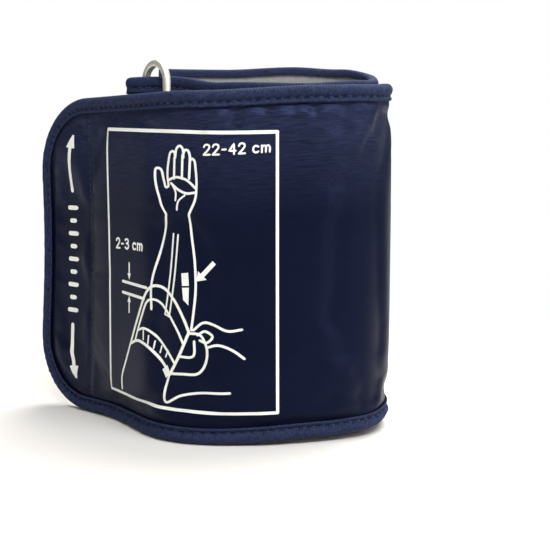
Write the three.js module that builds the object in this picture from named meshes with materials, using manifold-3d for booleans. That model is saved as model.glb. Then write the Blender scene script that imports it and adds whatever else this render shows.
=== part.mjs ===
// Upper-arm blood pressure cuff with a metal slide ring, rolled up for storage and standing on one
// long edge. The cuff is one strip of fabric wound as a spiral: it starts at a hem sewn round one leg
// of the ring, goes once round the arm opening, passes through the ring, turns back round the hem
// and ends in a free flap. Navy fabric is outside and a grey lining is inside.
// Millimetres, +Z up, the flap faces -Y. The origin is the middle of the footprint.

import * as THREE from 'three';
import { mergeVertices } from 'three/addons/utils/BufferGeometryUtils.js';
import Module from 'manifold-3d';

const wasm = await Module();
wasm.setup();

// ---- Strip: width, corner radius and where each layer lies either side of its middle ----
const WIDTH = 150;
const CORNER = 36;                // radius of the free end's two corners
const TAPE = 7.5;                 // width of the binding tape seen on each face
const TAPE_THICK = 0.5;
const GAP = 0.3;                  // clearance between pieces that touch in the real cuff
const SKIN_INNER = 0.75;          // fabric skins lie from here ...
const SKIN_OUTER = 1.5;           // ... to here
const SHEET_INNER = 0.1;          // bladder sheets lie from here ...
const SHEET_OUTER = 0.45;         // ... to here
const TAPE_INNER = SKIN_OUTER + GAP;
const TAPE_OUTER = TAPE_INNER + TAPE_THICK;
const BODY_INSET = TAPE_THICK + GAP;
const ROW_LOW = TAPE_OUTER + GAP / 2;

// ---- Spiral of the strip's middle, seen from above, and how far the roll is telescoped ----
const ROUTE = [
  [-53.2, 40.9], [-45, 43.2], [-30, 45.5], [-10, 47], [15, 47], [32, 44.3], [42.6, 36], [42.2, 24],
  [31, 15.5], [8, 12], [-14, 15.2], [-31, 23.2], [-42, 29.3], [-50, 31.7], [-58.5, 33.1],
  [-64.8, 36.6], [-65.2, 42.2], [-59.5, 46.6], [-45, 49.7], [-20, 52.6], [10, 53.5], [32, 52],
  [45, 45.6], [49.6, 33], [47.3, 18], [39.5, 7], [25, 1.5], [3, 0], [-17, -0.3], [-30, 0.6],
  [-40, 3.6], [-49, 10.4], [-62.5, 25], [-86.8, 50], [-101.5, 63.2], [-115.5, 75.4],
];
const LIFTS = [
  [0, 12.5], [30, 12.5], [62, 13.8], [84, 12.6], [118, 5.6], [145, 3.8], [182, 4.6], [208, 8.2],
  [246, 8.2], [302, 0], [324, 0], [352, 5], [366, 4.6], [395, 2.7], [410, 2.2], [462, 0],
];

// ---- Where things are along the strip, measured from the hem ----
const LAYER_SEAM = 337;           // pile fabric ends and printed nylon starts
const HINGE = 388;                // fold line where the flap opens
const BLADDER = { from: 98, to: 333, edge: 10 };
const HEM_TAIL = 16;
const PORT_AT = 306.6;

// ---- Slide ring: a flattened wire loop, one leg held in the hem, the strap through its middle ----
const LEG_A = new THREE.Vector2(-59, 39);
const LEG_B = new THREE.Vector2(-48, 26.2);
const WIRE = 3;
const RING_HEIGHT = 164;
const WIRE_BEVEL = 0.6;
const RING_LIFT = 1.5;             // the hem holds the ring this far off the surface

// ---- Rows of thread: how far in from the tape's edge, and the thread's width and height ----
const ROW_INSET = 5.4;
const THREAD_WIDE = 0.8;
const THREAD_HIGH = 0.4;
const THREAD_STOP = 1.5;          // rows end this far short of the fold line, so that it can open
const SEAM_STEP = 2;              // a seam's row lies this far past the edge that it sews down
const SEAM_ENDS = 1.5;            // a seam's row ends this far inside the tape

// ---- Hem tube round the ring's leg ----
const HEM_BORE = 2.1;
const HEM_WALL = 0.6;
const HEM_CUT_BACK = 7;

// ---- Air port on the back ----
const PORT = { flange: 8, tube: 2.9, bore: 1.5, barb: 3.5, length: 13, barbs: [7, 10], slope: 0.2 };
const GROMMET = { radius: 6.8, rim: 1.2, collar: 4.6, neck: 1.6, height: 3, hole: 4.4 };

// ---- Print and hook pad on the flap, measured back from its free end ----
const PRINT_LOW = TAPE_OUTER - TAPE_THICK;
const PRINT_HIGH = PRINT_LOW + 0.2;
const INDEX_SEAM_BACK = 38;
const INDEX_MIDDLE_BACK = 23.5;
const FRAME = { near: 54.5, far: 146.5, low: 13, high: 133, line: 1.2 };
const ARROW = { shaft: 1.6, head: 4.6, headLength: 9, length: 27, top: 133, bottom: 15 };
const HOOK = { near: 16, far: 58, edge: 17, thick: 0.8 };

const NAVY = { color: 0x1b2340, roughness: 0.55, metalness: 0 };
const TAPE_BLUE = { color: 0x222c4c, roughness: 0.7, metalness: 0 };
const PILE = { color: 0x161c33, roughness: 0.95, metalness: 0 };
const GREY = { color: 0x6f6c69, roughness: 0.8, metalness: 0 };
const PRINT = { color: 0xece8da, roughness: 0.6, metalness: 0 };
const THREAD = { color: 0x2b4a80, roughness: 0.8, metalness: 0 };
const FILM = { color: 0x30343a, roughness: 0.5, metalness: 0 };
const RUBBER = { color: 0x151515, roughness: 0.85, metalness: 0 };
const NICKEL = { color: 0xcfc8b4, roughness: 0.25, metalness: 1 };
const PLASTIC = { color: 0x23262c, roughness: 0.5, metalness: 0 };

// ---- The strip's own coordinates: s along it, n out through the navy side, z up ----
const spiral = new THREE.CatmullRomCurve3(
  ROUTE.map(([x, y]) => new THREE.Vector3(x, y, 0)), false, 'centripetal');
spiral.arcLengthDivisions = 4000;
const LENGTH = spiral.getLength();

function plan(s) {
  const u = THREE.MathUtils.clamp(s / LENGTH, 0, 1);
  const point = spiral.getPointAt(u);
  const tangent = spiral.getTangentAt(u);
  return { point, tangent, normal: new THREE.Vector3(-tangent.y, tangent.x, 0) };
}

function lift(s) {
  const next = LIFTS.findIndex(([at]) => at > s);
  if (next < 0) return LIFTS[LIFTS.length - 1][1];
  const [s0, z0] = LIFTS[next - 1];
  const [s1, z1] = LIFTS[next];
  return z0 + (z1 - z0) * THREE.MathUtils.smoothstep(s, s0, s1);
}

// Lowest height of the strip's outline, drawn in from its edge by the inset.
function edgeHeight(s, inset) {
  const radius = CORNER - inset;
  const into = Math.max(s - (LENGTH - CORNER), 0);
  return inset + radius - Math.sqrt(Math.max(radius * radius - into * into, 0));
}

// Cross-sections every few millimetres, closer where the strip bends, shared by every layer.
const SAG = 0.09;
const stations = [0];
while (stations[stations.length - 1] < LENGTH - 2) {
  const s = stations[stations.length - 1];
  const bend = plan(s).tangent.angleTo(plan(s + 4).tangent) / 4;
  stations.push(s + THREE.MathUtils.clamp(Math.sqrt(8 * SAG / (bend + 1e-6)), 2.4, 9));
}

function stationsBetween(from, to) {
  return [from, ...stations.filter((s) => s > from + 0.4 && s < to - 0.4), to];
}

function cornerStations(from, inset) {
  const radius = CORNER - inset;
  const turn = Array.from({ length: 9 }, (_, k) => Math.sin((k / 8) * Math.PI / 2) * radius);
  const start = LENGTH - CORNER;
  return [...stationsBetween(from, start), ...turn.slice(1).map((along) => start + along)];
}

// A straight bar of the given section, bent along the strip: section x is n, section y is z.
function bendAlong(section, marks, height = (y) => y) {
  const steps = marks.length - 1;
  const bar = new THREE.ExtrudeGeometry(section, { depth: steps, steps, bevelEnabled: false });
  const position = bar.attributes.position;
  for (let i = 0; i < position.count; i += 1) {
    const s = marks[Math.round(position.getZ(i))];
    const n = position.getX(i);
    const { point, normal } = plan(s);
    const z = height(position.getY(i), s) + lift(s);
    position.setXYZ(i, point.x + normal.x * n, point.y + normal.y * n, z);
  }
  return bar;
}

function rectangle(x0, x1, y0, y1) {
  return new THREE.Shape([
    new THREE.Vector2(x0, y0), new THREE.Vector2(x1, y0),
    new THREE.Vector2(x1, y1), new THREE.Vector2(x0, y1),
  ]);
}

function plate(n0, n1, from, to, low, high) {
  return bendAlong(rectangle(n0, n1, low, high), stationsBetween(from, to));
}

// A layer that follows the flap's rounded free end, drawn in by the inset.
function endedPlate(n0, n1, from, inset) {
  const height = (y, s) => {
    const low = edgeHeight(s, inset);
    return low + y * (WIDTH - 2 * low);
  };
  return bendAlong(rectangle(n0, n1, 0, 1), cornerStations(from, inset), height);
}

// ---- Joining and cutting ----
function solid(geometry) {
  const bare = new THREE.BufferGeometry();
  bare.setAttribute('position', geometry.attributes.position);
  if (geometry.index) bare.setIndex(geometry.index);
  const merged = mergeVertices(bare, 1e-4);
  return new wasm.Manifold(new wasm.Mesh({
    numProp: 3,
    vertProperties: new Float32Array(merged.attributes.position.array),
    triVerts: new Uint32Array(merged.index.array),
  }));
}

function geometryOf(body) {
  const mesh = body.getMesh();
  const geometry = new THREE.BufferGeometry();
  geometry.setAttribute('position', new THREE.BufferAttribute(mesh.vertProperties, 3));
  geometry.setIndex(new THREE.BufferAttribute(mesh.triVerts, 1));
  geometry.computeVertexNormals();
  return geometry;
}

const PAST = 2;                   // a cutting solid runs this far past what it cuts
const cuff = new THREE.Group();

function add(name, geometry, look) {
  const mesh = new THREE.Mesh(geometry, new THREE.MeshStandardMaterial(look));
  mesh.name = name;
  cuff.add(mesh);
  return mesh;
}

// A point on the strip's face and the way out of it, for round parts that stand on the strip.
function standOn(s, n, z) {
  const { point, normal } = plan(s);
  const turn = new THREE.Quaternion().setFromUnitVectors(new THREE.Vector3(0, 1, 0), normal);
  const at = new THREE.Vector3(point.x + normal.x * n, point.y + normal.y * n, z + lift(s));
  return new THREE.Matrix4().compose(at, turn, new THREE.Vector3(1, 1, 1));
}

// ---- Wound part: skins, lining, bladder and binding ----
function addWrap() {
  const low = BODY_INSET;
  const high = WIDTH - BODY_INSET;
  const portHole = new THREE.CylinderGeometry(GROMMET.hole, GROMMET.hole, 4 * SKIN_OUTER, 24);
  portHole.applyMatrix4(standOn(PORT_AT, 1, WIDTH / 2));
  const pile = plate(SKIN_INNER, SKIN_OUTER, GAP, LAYER_SEAM - GAP, low, high);
  add('wrap_pile_panel', geometryOf(solid(pile).subtract(solid(portHole))), PILE);
  add('fold_panel', plate(SKIN_INNER, SKIN_OUTER, LAYER_SEAM, HINGE - GAP / 2, low, high), NAVY);
  add('wrap_lining', plate(-SKIN_OUTER, -SKIN_INNER, GAP, HINGE - GAP / 2, low, high), GREY);
  const row = LAYER_SEAM + SEAM_STEP;
  add('layer_seam', plate(TAPE_INNER, TAPE_INNER + THREAD_HIGH, row, row + THREAD_WIDE,
    TAPE + SEAM_ENDS, WIDTH - TAPE - SEAM_ENDS), THREAD);

  const { from, to, edge } = BLADDER;
  const outer = plate(SHEET_INNER, SHEET_OUTER, from, to, edge, WIDTH - edge);
  const socket = new THREE.CylinderGeometry(PORT.flange + GAP, PORT.flange + GAP, SKIN_INNER, 32);
  socket.applyMatrix4(standOn(PORT_AT, SHEET_OUTER / 2, WIDTH / 2));
  add('bladder_outer_sheet', geometryOf(solid(outer).subtract(solid(socket))), FILM);
  add('bladder_inner_sheet', plate(-SHEET_OUTER, -SHEET_INNER, from, to, edge, WIDTH - edge), FILM);
}

// Tape folded over an edge of the strip: a square U that opens upwards or downwards.
function tapeSection(edge, into) {
  const web = edge + into * TAPE_THICK;
  const hem = edge + into * TAPE;
  const outline = [
    [-TAPE_OUTER, edge], [TAPE_OUTER, edge], [TAPE_OUTER, hem], [TAPE_INNER, hem],
    [TAPE_INNER, web], [-TAPE_INNER, web], [-TAPE_INNER, hem], [-TAPE_OUTER, hem],
  ];
  return new THREE.Shape(outline.map(([n, z]) => new THREE.Vector2(n, z)));
}

function addBindings() {
  const marks = stationsBetween(GAP, HINGE - GAP / 2);
  add('wrap_binding_top', bendAlong(tapeSection(WIDTH, -1), marks), TAPE_BLUE);
  add('wrap_binding_bottom', bendAlong(tapeSection(0, 1), marks), TAPE_BLUE);
  const row = (low) => plate(ROW_LOW, ROW_LOW + THREAD_HIGH, GAP, HINGE - THREAD_STOP, low,
    low + THREAD_WIDE);
  add('wrap_stitching_top', row(WIDTH - ROW_INSET - THREAD_WIDE), THREAD);
  add('wrap_stitching_bottom', row(ROW_INSET), THREAD);
}

// ---- Hem: the strip's first edge folded round the ring's leg and sewn down inside ----
function addHem() {
  const start = plan(0);
  const neck = new THREE.Vector2(start.point.x, start.point.y);
  const along = neck.clone().sub(LEG_A).normalize();
  const across = new THREE.Vector2(-along.y, along.x);
  const radius = HEM_BORE + HEM_WALL;
  const corner = (sign) => neck.clone().addScaledVector(across, sign * SKIN_OUTER);
  const outline = new THREE.Shape();
  const heading = along.angle();
  const spread = Math.PI / 2.6;
  outline.moveTo(corner(-1).x, corner(-1).y);
  outline.lineTo(corner(1).x, corner(1).y);
  outline.absarc(LEG_A.x, LEG_A.y, radius, heading + spread, heading - spread, false);
  outline.closePath();
  const bore = new THREE.Path();
  bore.absarc(LEG_A.x, LEG_A.y, HEM_BORE, 0, 2 * Math.PI, true);
  outline.holes.push(bore);
  const tube = new THREE.ExtrudeGeometry(outline, {
    depth: WIDTH - 2 * HEM_CUT_BACK, bevelEnabled: false, curveSegments: 12,
  });
  tube.translate(0, 0, HEM_CUT_BACK + lift(0));
  add('ring_hem', tube, NAVY);
  const low = TAPE + GAP;
  const high = WIDTH - low;
  add('hem_tail', plate(-TAPE_OUTER, -TAPE_INNER, GAP, HEM_TAIL, low, high), NAVY);
  const row = HEM_TAIL - SEAM_STEP - THREAD_WIDE;
  add('hem_stitching', plate(-ROW_LOW - THREAD_HIGH, -ROW_LOW, row, row + THREAD_WIDE,
    low + SEAM_ENDS, high - SEAM_ENDS), THREAD);
}

// ---- Slide ring: one leg in the hem, the other in front of the strap ----
function addRing() {
  const spacing = LEG_A.distanceTo(LEG_B);
  const outerRadius = (spacing + WIRE) / 2;
  const innerRadius = (spacing - WIRE) / 2;
  const straight = RING_HEIGHT - outerRadius;
  const loop = (path, radius) => {
    path.absarc(0, straight, radius, 0, Math.PI, false);
    path.absarc(0, outerRadius, radius, Math.PI, 2 * Math.PI, false);
    path.closePath();
    return path;
  };
  const outline = loop(new THREE.Shape(), outerRadius);
  outline.holes.push(loop(new THREE.Path(), innerRadius));
  const ring = new THREE.ExtrudeGeometry(outline, {
    depth: WIRE - 2 * WIRE_BEVEL, curveSegments: 10, bevelEnabled: true,
    bevelThickness: WIRE_BEVEL, bevelSize: WIRE_BEVEL, bevelOffset: -WIRE_BEVEL, bevelSegments: 2,
  });
  ring.translate(0, 0, WIRE_BEVEL - WIRE / 2);
  ring.rotateX(Math.PI / 2);
  const mesh = add('d_ring', ring, NICKEL);
  const middle = LEG_A.clone().add(LEG_B).multiplyScalar(0.5);
  mesh.position.set(middle.x, middle.y, RING_LIFT);
  mesh.rotation.z = LEG_B.clone().sub(LEG_A).angle();
}

// ---- Air port: a barbed nipple welded to the bladder, led out through a rubber grommet ----
function addPort() {
  const { flange, tube, bore, barb, length, barbs, slope } = PORT;
  const turned = (points) => {
    const geometry = new THREE.LatheGeometry(points.map(([r, y]) => new THREE.Vector2(r, y)), 24);
    geometry.applyMatrix4(standOn(PORT_AT, 0, WIDTH / 2));
    return geometry;
  };
  add('bladder_port', turned([
    [bore, SHEET_INNER], [flange, SHEET_INNER], [flange, SHEET_OUTER], [tube, SHEET_OUTER],
    [tube, barbs[0]], [barb, barbs[0] + slope], [tube, barbs[1]], [barb, barbs[1] + slope],
    [(bore + tube) / 2, length], [bore, length], [bore, SHEET_INNER],
  ]), PLASTIC);
  const { radius, rim, collar, neck, height, hole } = GROMMET;
  const face = TAPE_INNER;
  add('port_grommet', turned([
    [tube + GAP, SKIN_INNER], [hole - GAP, SKIN_INNER], [hole - GAP, face], [radius, face],
    [radius, face + rim], [collar, face + neck], [collar, face + height],
    [tube + GAP, face + height], [tube + GAP, SKIN_INNER],
  ]), RUBBER);
}

// ---- Free flap: printed panel, lining, binding round three edges ----
function addFlap() {
  const from = HINGE + GAP / 2;
  add('flap_panel', endedPlate(SKIN_INNER, SKIN_OUTER, from, BODY_INSET), NAVY);
  add('flap_lining', endedPlate(-SKIN_OUTER, -SKIN_INNER, from, BODY_INSET), GREY);
  const whole = solid(endedPlate(-TAPE_OUTER, TAPE_OUTER, from, 0));
  const room = solid(endedPlate(-TAPE_INNER, TAPE_INNER, from - PAST, TAPE_THICK));
  const open = solid(endedPlate(-TAPE_OUTER - PAST, TAPE_OUTER + PAST, from - PAST, TAPE));
  add('flap_binding', geometryOf(whole.subtract(room).subtract(open)), TAPE_BLUE);
  const start = HINGE + THREAD_STOP;
  const row = solid(endedPlate(ROW_LOW, ROW_LOW + THREAD_HIGH, start, ROW_INSET));
  const within = solid(endedPlate(ROW_LOW - PAST, ROW_LOW + THREAD_HIGH + PAST, start - PAST,
    ROW_INSET + THREAD_WIDE));
  add('flap_stitching', geometryOf(row.subtract(within)), THREAD);
}

function addHookPad() {
  const { near, far, edge, thick } = HOOK;
  const inner = -TAPE_INNER;
  add('hook_pad', plate(inner - thick, inner, LENGTH - far, LENGTH - near, edge, WIDTH - edge),
    PILE);
  const line = (inset, n0, n1) => solid(plate(n0, n1, LENGTH - far + inset, LENGTH - near - inset,
    edge + inset, WIDTH - edge - inset));
  const top = inner - thick - GAP / 2;
  const row = line(SEAM_STEP, top - THREAD_HIGH, top);
  const within = line(SEAM_STEP + THREAD_WIDE, top - THREAD_HIGH - PAST, top + PAST);
  add('hook_stitching', geometryOf(row.subtract(within)), THREAD);
}

// ---- Print on the flap: the sewn index line, two arrows beside it and the drawing's frame ----
function arrow(direction, tip) {
  const middle = LENGTH - INDEX_MIDDLE_BACK;
  const { shaft, head, headLength, length } = ARROW;
  const tail = tip - direction * length;
  const neck = tip - direction * headLength;
  const bar = plate(PRINT_LOW, PRINT_HIGH, middle - shaft / 2, middle + shaft / 2,
    Math.min(tail, neck + direction), Math.max(tail, neck + direction));
  const pointed = direction > 0 ? 1 : 0;
  const reach = (s) => Math.max(headLength * (1 - Math.abs(s - middle) / (head / 2)), GAP);
  const wedge = bendAlong(rectangle(PRINT_LOW, PRINT_HIGH, 0, 1),
    [middle - head / 2, middle, middle + head / 2],
    (y, s) => (y === pointed ? neck + direction * reach(s) : neck));
  return geometryOf(solid(bar).add(solid(wedge)));
}

function addPrint() {
  const seam = LENGTH - INDEX_SEAM_BACK;
  add('index_seam', plate(TAPE_INNER, TAPE_INNER + THREAD_HIGH, seam, seam + THREAD_WIDE,
    TAPE + SEAM_ENDS, WIDTH - TAPE - SEAM_ENDS), THREAD);
  const { near, far, low, high, line } = FRAME;
  const whole = solid(plate(PRINT_LOW, PRINT_HIGH, LENGTH - far, LENGTH - near, low, high));
  const inside = solid(plate(PRINT_LOW - PAST, PRINT_HIGH + PAST, LENGTH - far + line,
    LENGTH - near - line, low + line, high - line));
  add('print_frame', geometryOf(whole.subtract(inside)), PRINT);
  add('index_arrow_up', arrow(1, ARROW.top), PRINT);
  add('index_arrow_down', arrow(-1, ARROW.bottom), PRINT);
}

addWrap();
addBindings();
addHem();
addRing();
addPort();
addFlap();
addHookPad();
addPrint();

// The origin goes to the middle of the footprint, on the surface that the cuff stands on.
const extent = new THREE.Box3().setFromObject(cuff, true);
cuff.position.set(-(extent.min.x + extent.max.x) / 2, -(extent.min.y + extent.max.y) / 2,
  -extent.min.z);

export default cuff;
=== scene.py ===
"""Upper-arm blood pressure cuff, rolled up and standing on one long edge: the visual model.

The CAD frame gives the bodies, the joints and the size. Every fabric piece is built here in the
strip's own coordinates (s along the strip, n out through its navy side, z up, in millimetres) and
then laid along the same spiral as the CAD. A cloth simulation makes the fabric swell and wrinkle
between its seams.
"""
import math

import bpy
import numpy as np
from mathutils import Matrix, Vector
from mathutils.geometry import tessellate_polygon


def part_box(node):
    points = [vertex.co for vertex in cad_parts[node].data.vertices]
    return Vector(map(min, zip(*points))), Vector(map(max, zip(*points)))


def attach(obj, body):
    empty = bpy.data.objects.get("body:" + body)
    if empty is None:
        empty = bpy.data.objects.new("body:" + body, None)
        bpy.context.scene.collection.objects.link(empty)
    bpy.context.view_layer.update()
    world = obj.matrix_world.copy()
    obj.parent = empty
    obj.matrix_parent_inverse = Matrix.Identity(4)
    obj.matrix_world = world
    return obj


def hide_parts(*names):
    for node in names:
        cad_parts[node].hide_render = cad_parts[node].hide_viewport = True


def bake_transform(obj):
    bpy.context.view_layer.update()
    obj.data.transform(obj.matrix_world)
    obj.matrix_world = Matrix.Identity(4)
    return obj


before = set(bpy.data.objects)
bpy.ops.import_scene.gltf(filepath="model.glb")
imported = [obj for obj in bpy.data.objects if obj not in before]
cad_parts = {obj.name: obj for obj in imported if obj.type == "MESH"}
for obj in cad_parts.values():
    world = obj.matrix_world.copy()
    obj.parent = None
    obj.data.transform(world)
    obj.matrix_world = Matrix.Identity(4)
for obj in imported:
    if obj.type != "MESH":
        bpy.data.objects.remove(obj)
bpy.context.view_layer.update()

MM = 0.001

# ---- Driving dimensions of the strip, the same as the CAD's, in millimetres ----
WIDTH = 150
CORNER = 36
TAPE = 7.5
GAP = 0.3
SKIN = (0.75, 1.5)                # the navy fabric's two faces
BODY_INSET = 0.8
ROUTE = [
    (-53.2, 40.9), (-45, 43.2), (-30, 45.5), (-10, 47), (15, 47), (32, 44.3), (42.6, 36), (42.2, 24),
    (31, 15.5), (8, 12), (-14, 15.2), (-31, 23.2), (-42, 29.3), (-50, 31.7), (-58.5, 33.1),
    (-64.8, 36.6), (-65.2, 42.2), (-59.5, 46.6), (-45, 49.7), (-20, 52.6), (10, 53.5), (32, 52),
    (45, 45.6), (49.6, 33), (47.3, 18), (39.5, 7), (25, 1.5), (3, 0), (-17, -0.3), (-30, 0.6),
    (-40, 3.6), (-49, 10.4), (-62.5, 25), (-86.8, 50), (-101.5, 63.2), (-115.5, 75.4),
]
LIFTS = [
    (0, 12.5), (30, 12.5), (62, 13.8), (84, 12.6), (118, 5.6), (145, 3.8), (182, 4.6), (208, 8.2),
    (246, 8.2), (302, 0), (324, 0), (352, 5), (366, 4.6), (395, 2.7), (410, 2.2), (462, 0),
]
LAYER_SEAM = 337
HEM_TAIL = 16
PORT_AT = 306.6
LEG_A = (-59, 39)
LEG_B = (-48, 26.2)
WIRE = 3
RING_HEIGHT = 164
RING_LIFT = 1.5
INDEX_SEAM_BACK = 38              # the sewn index line, back from the free end
HOOK = {"near": 16, "far": 58, "edge": 17, "thick": 0.8}


# ---- The spiral, as tables along the strip ----
def spline(points, steps=60):
    """Centripetal Catmull-Rom curve through plan points, as a fine polyline."""
    p = np.array(points, float)
    p = np.vstack([2 * p[0] - p[1], p, 2 * p[-1] - p[-2]])
    line = []
    for p0, p1, p2, p3 in zip(p[:-3], p[1:-2], p[2:-1], p[3:]):
        d0, d1, d2 = (max(np.linalg.norm(b - a) ** 0.5, 1e-6) for a, b in ((p0, p1), (p1, p2), (p2, p3)))
        t1 = ((p1 - p0) / d0 - (p2 - p0) / (d0 + d1) + (p2 - p1) / d1) * d1
        t2 = ((p2 - p1) / d1 - (p3 - p1) / (d1 + d2) + (p3 - p2) / d2) * d1
        u = np.linspace(0, 1, steps, endpoint=False)[:, None]
        line.append(p1 + t1 * u + (3 * (p2 - p1) - 2 * t1 - t2) * u ** 2 + (2 * (p1 - p2) + t1 + t2) * u ** 3)
    return np.vstack(line + [p[-2:-1]])


def evenly(line, step):
    """The same polyline with points at even distances, and its length."""
    along = np.concatenate([[0], np.cumsum(np.linalg.norm(np.diff(line, axis=0), axis=1))])
    marks = np.linspace(0, along[-1], max(int(round(along[-1] / step)), 1) + 1)
    even = np.stack([np.interp(marks, along, line[:, k]) for k in range(line.shape[1])], -1)
    return marks, even


def blurred(values, sigma, axis=0):
    """Gaussian blur along one axis, with the ends carried on in a straight line."""
    reach = max(int(3 * sigma), 1)
    kernel = np.exp(-0.5 * (np.arange(-reach, reach + 1) / sigma) ** 2)
    kernel /= kernel.sum()
    rows = np.moveaxis(np.asarray(values, float), axis, 0)
    before = 2 * rows[:1] - rows[1:reach + 1][::-1]
    after = 2 * rows[-1:] - rows[-reach - 1:-1][::-1]
    padded = np.concatenate([before, rows, after])
    smooth = sum(w * padded[k:k + len(rows)] for k, w in enumerate(kernel))
    return np.moveaxis(smooth, 0, axis)


def ridge(x, at, width):
    """A bell-shaped rise of height 1."""
    return np.exp(-((x - at) / width) ** 2)


def smoothstep(x, low, high):
    t = np.clip((x - low) / (high - low), 0, 1)
    return t * t * (3 - 2 * t)


TABLE_STEP = 0.25
S_TABLE, SPIRAL = evenly(spline(ROUTE), TABLE_STEP)
LENGTH = S_TABLE[-1]
on_flap = smoothstep(S_TABLE, LAYER_SEAM - 10, LAYER_SEAM + 20)[:, None]
SPIRAL = blurred(SPIRAL, 0.8 / TABLE_STEP) * (1 - on_flap) + blurred(SPIRAL, 4 / TABLE_STEP) * on_flap
TANGENT = np.gradient(SPIRAL, axis=0)
TANGENT /= np.linalg.norm(TANGENT, axis=1)[:, None]
LIFT_TABLE = np.array([LIFTS[0][1]] * len(S_TABLE), float)
for (s0, z0), (s1, z1) in zip(LIFTS, LIFTS[1:]):
    LIFT_TABLE += (z1 - z0) * smoothstep(S_TABLE, s0, s1)

ring_low, ring_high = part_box("d_ring")
ORIGIN = [(ring_low[k] + ring_high[k]) / 2 / MM - (LEG_A[k] + LEG_B[k]) / 2 for k in (0, 1)]


def place(s, n, z):
    """Points in metres from strip coordinates in millimetres (arrays of one shape)."""
    s, n, z = np.broadcast_arrays(*(np.asarray(v, float) for v in (s, n, z)))
    x, y, tx, ty, up = (np.interp(s, S_TABLE, column) for column in
                        (SPIRAL[:, 0], SPIRAL[:, 1], TANGENT[:, 0], TANGENT[:, 1], LIFT_TABLE))
    past = s - np.clip(s, 0, LENGTH)
    x, y = x + tx * past, y + ty * past
    return np.stack([x - ty * n + ORIGIN[0], y + tx * n + ORIGIN[1], z + up], -1) * MM


def edge_height(s, inset):
    """Lowest height of the strip's outline, drawn in from its edge by the inset."""
    radius = CORNER - inset
    into = np.clip(np.asarray(s, float) - (LENGTH - CORNER), 0, radius)
    return inset + radius - np.sqrt(radius * radius - into * into)


# ---- How far the fabric stands off its plain spiral: swelling, wrinkles and puckers ----
FIELD_STEP = 0.75
SIM_STEP = 3.0
SIM_FRAMES = 16
# a light coated nylon, 3.5 per cent too large for its seams, with a little air behind it
CLOTH = {"quality": 5, "mass": 0.2, "tension_stiffness": 12, "compression_stiffness": 12,
         "shear_stiffness": 4, "bending_stiffness": 0.35, "shrink_min": -0.035,
         "use_pressure": True, "uniform_pressure_force": 1.2}
FIELD_S = np.arange(0, LENGTH + FIELD_STEP, FIELD_STEP)
FIELD_Z = np.arange(0, WIDTH + FIELD_STEP, FIELD_STEP)
# the room that each stretch of the strip has in front of it and behind it: s, outwards, inwards
ROOM = [(0, 0.25, 0.3), (90, 0.5, 0.5), (130, 0.9, 0.9), (200, 0.4, 0.4), (244, 0.9, 0.3),
        (330, 1.0, 0.3), (352, 1.2, 0.9), (400, 2.3, 1.2), (LENGTH, 2.0, 1.0)]
TAPE_SINK = 0.45                  # the panel dips beside its sewn lines
SINK_REACH = 1.6
LINING_ROOM = 0.8                 # how far the flap's fabric may fall back towards its lining
PORT_FLAT = (8, 16)               # flat inside the first radius round the port, free past the second
TUCK = 0.18                       # how far the fabric may fall back where the bladder lies behind it


def in_table(column, s):
    return np.interp(s, [row[0] for row in ROOM], [row[column] for row in ROOM])


def seam_distance(s, z):
    """Distance from a point of the strip to the nearest sewn line, as the fabric sees it."""
    low = edge_height(s, 0)
    edge = np.minimum(z - low, WIDTH - low - z) - TAPE
    from_end = LENGTH - s - TAPE
    lines = [edge, from_end, np.abs(s - (LENGTH - INDEX_SEAM_BACK)), np.abs(s - LAYER_SEAM), s - 6]
    return np.clip(np.minimum.reduce(np.broadcast_arrays(*lines)), 0, None)


def simulated_swelling():
    """Cloth simulation of the navy fabric, pushed out from behind and a little too large for its
    seams. Gives how far it moved outwards, on a grid of the strip."""
    s_marks = np.linspace(0, LENGTH, int(LENGTH / SIM_STEP) + 1)
    z_marks = np.linspace(0, WIDTH, int(WIDTH / SIM_STEP) + 1)
    s, z = np.meshgrid(s_marks, z_marks, indexing="ij")
    rest = place(s, SKIN[1], z).reshape(-1, 3)
    mesh = bpy.data.meshes.new("swelling")
    mesh.from_pydata(rest.tolist(), [], grid_faces(len(s_marks), len(z_marks)).tolist())
    cloth_object = bpy.data.objects.new("swelling", mesh)
    bpy.context.scene.collection.objects.link(cloth_object)
    sewn = cloth_object.vertex_groups.new(name="sewn")
    held = np.flatnonzero(seam_distance(s, z).ravel() < SIM_STEP / 2)
    sewn.add(held.tolist(), 1.0, "REPLACE")
    cloth = cloth_object.modifiers.new("cloth", "CLOTH")
    settings = cloth.settings
    for key, value in CLOTH.items():
        setattr(settings, key, value)
    settings.effector_weights.gravity = 0
    settings.vertex_group_mass = "sewn"
    cloth.point_cache.frame_start = 1
    cloth.point_cache.frame_end = SIM_FRAMES
    scene = bpy.context.scene
    for frame_number in range(1, SIM_FRAMES + 1):
        scene.frame_set(frame_number)
    result = cloth_object.evaluated_get(bpy.context.evaluated_depsgraph_get()).to_mesh()
    moved = np.empty(len(rest) * 3)
    result.vertices.foreach_get("co", moved)
    bpy.data.objects.remove(cloth_object)
    scene.frame_set(1)
    outward = place(s, SKIN[1] + 1, z).reshape(-1, 3) - rest
    outward /= np.linalg.norm(outward, axis=1)[:, None]
    swelling = ((moved.reshape(-1, 3) - rest) * outward).sum(1).reshape(s.shape) / MM
    return finer(swelling, s_marks, z_marks)


def finer(values, s_marks, z_marks):
    """A coarse grid on the field's fine one, without facets."""
    along = np.stack([np.interp(FIELD_S, s_marks, values[:, k]) for k in range(values.shape[1])], -1)
    both = np.stack([np.interp(FIELD_Z, z_marks, row) for row in along])
    return blurred(blurred(both, SIM_STEP / FIELD_STEP * 0.5, 0), SIM_STEP / FIELD_STEP * 0.5, 1)


def rise_and_fall(x):
    """Nothing at 0, 1 at 1, and fading slowly beyond."""
    return x * np.exp(1 - x)


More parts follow.
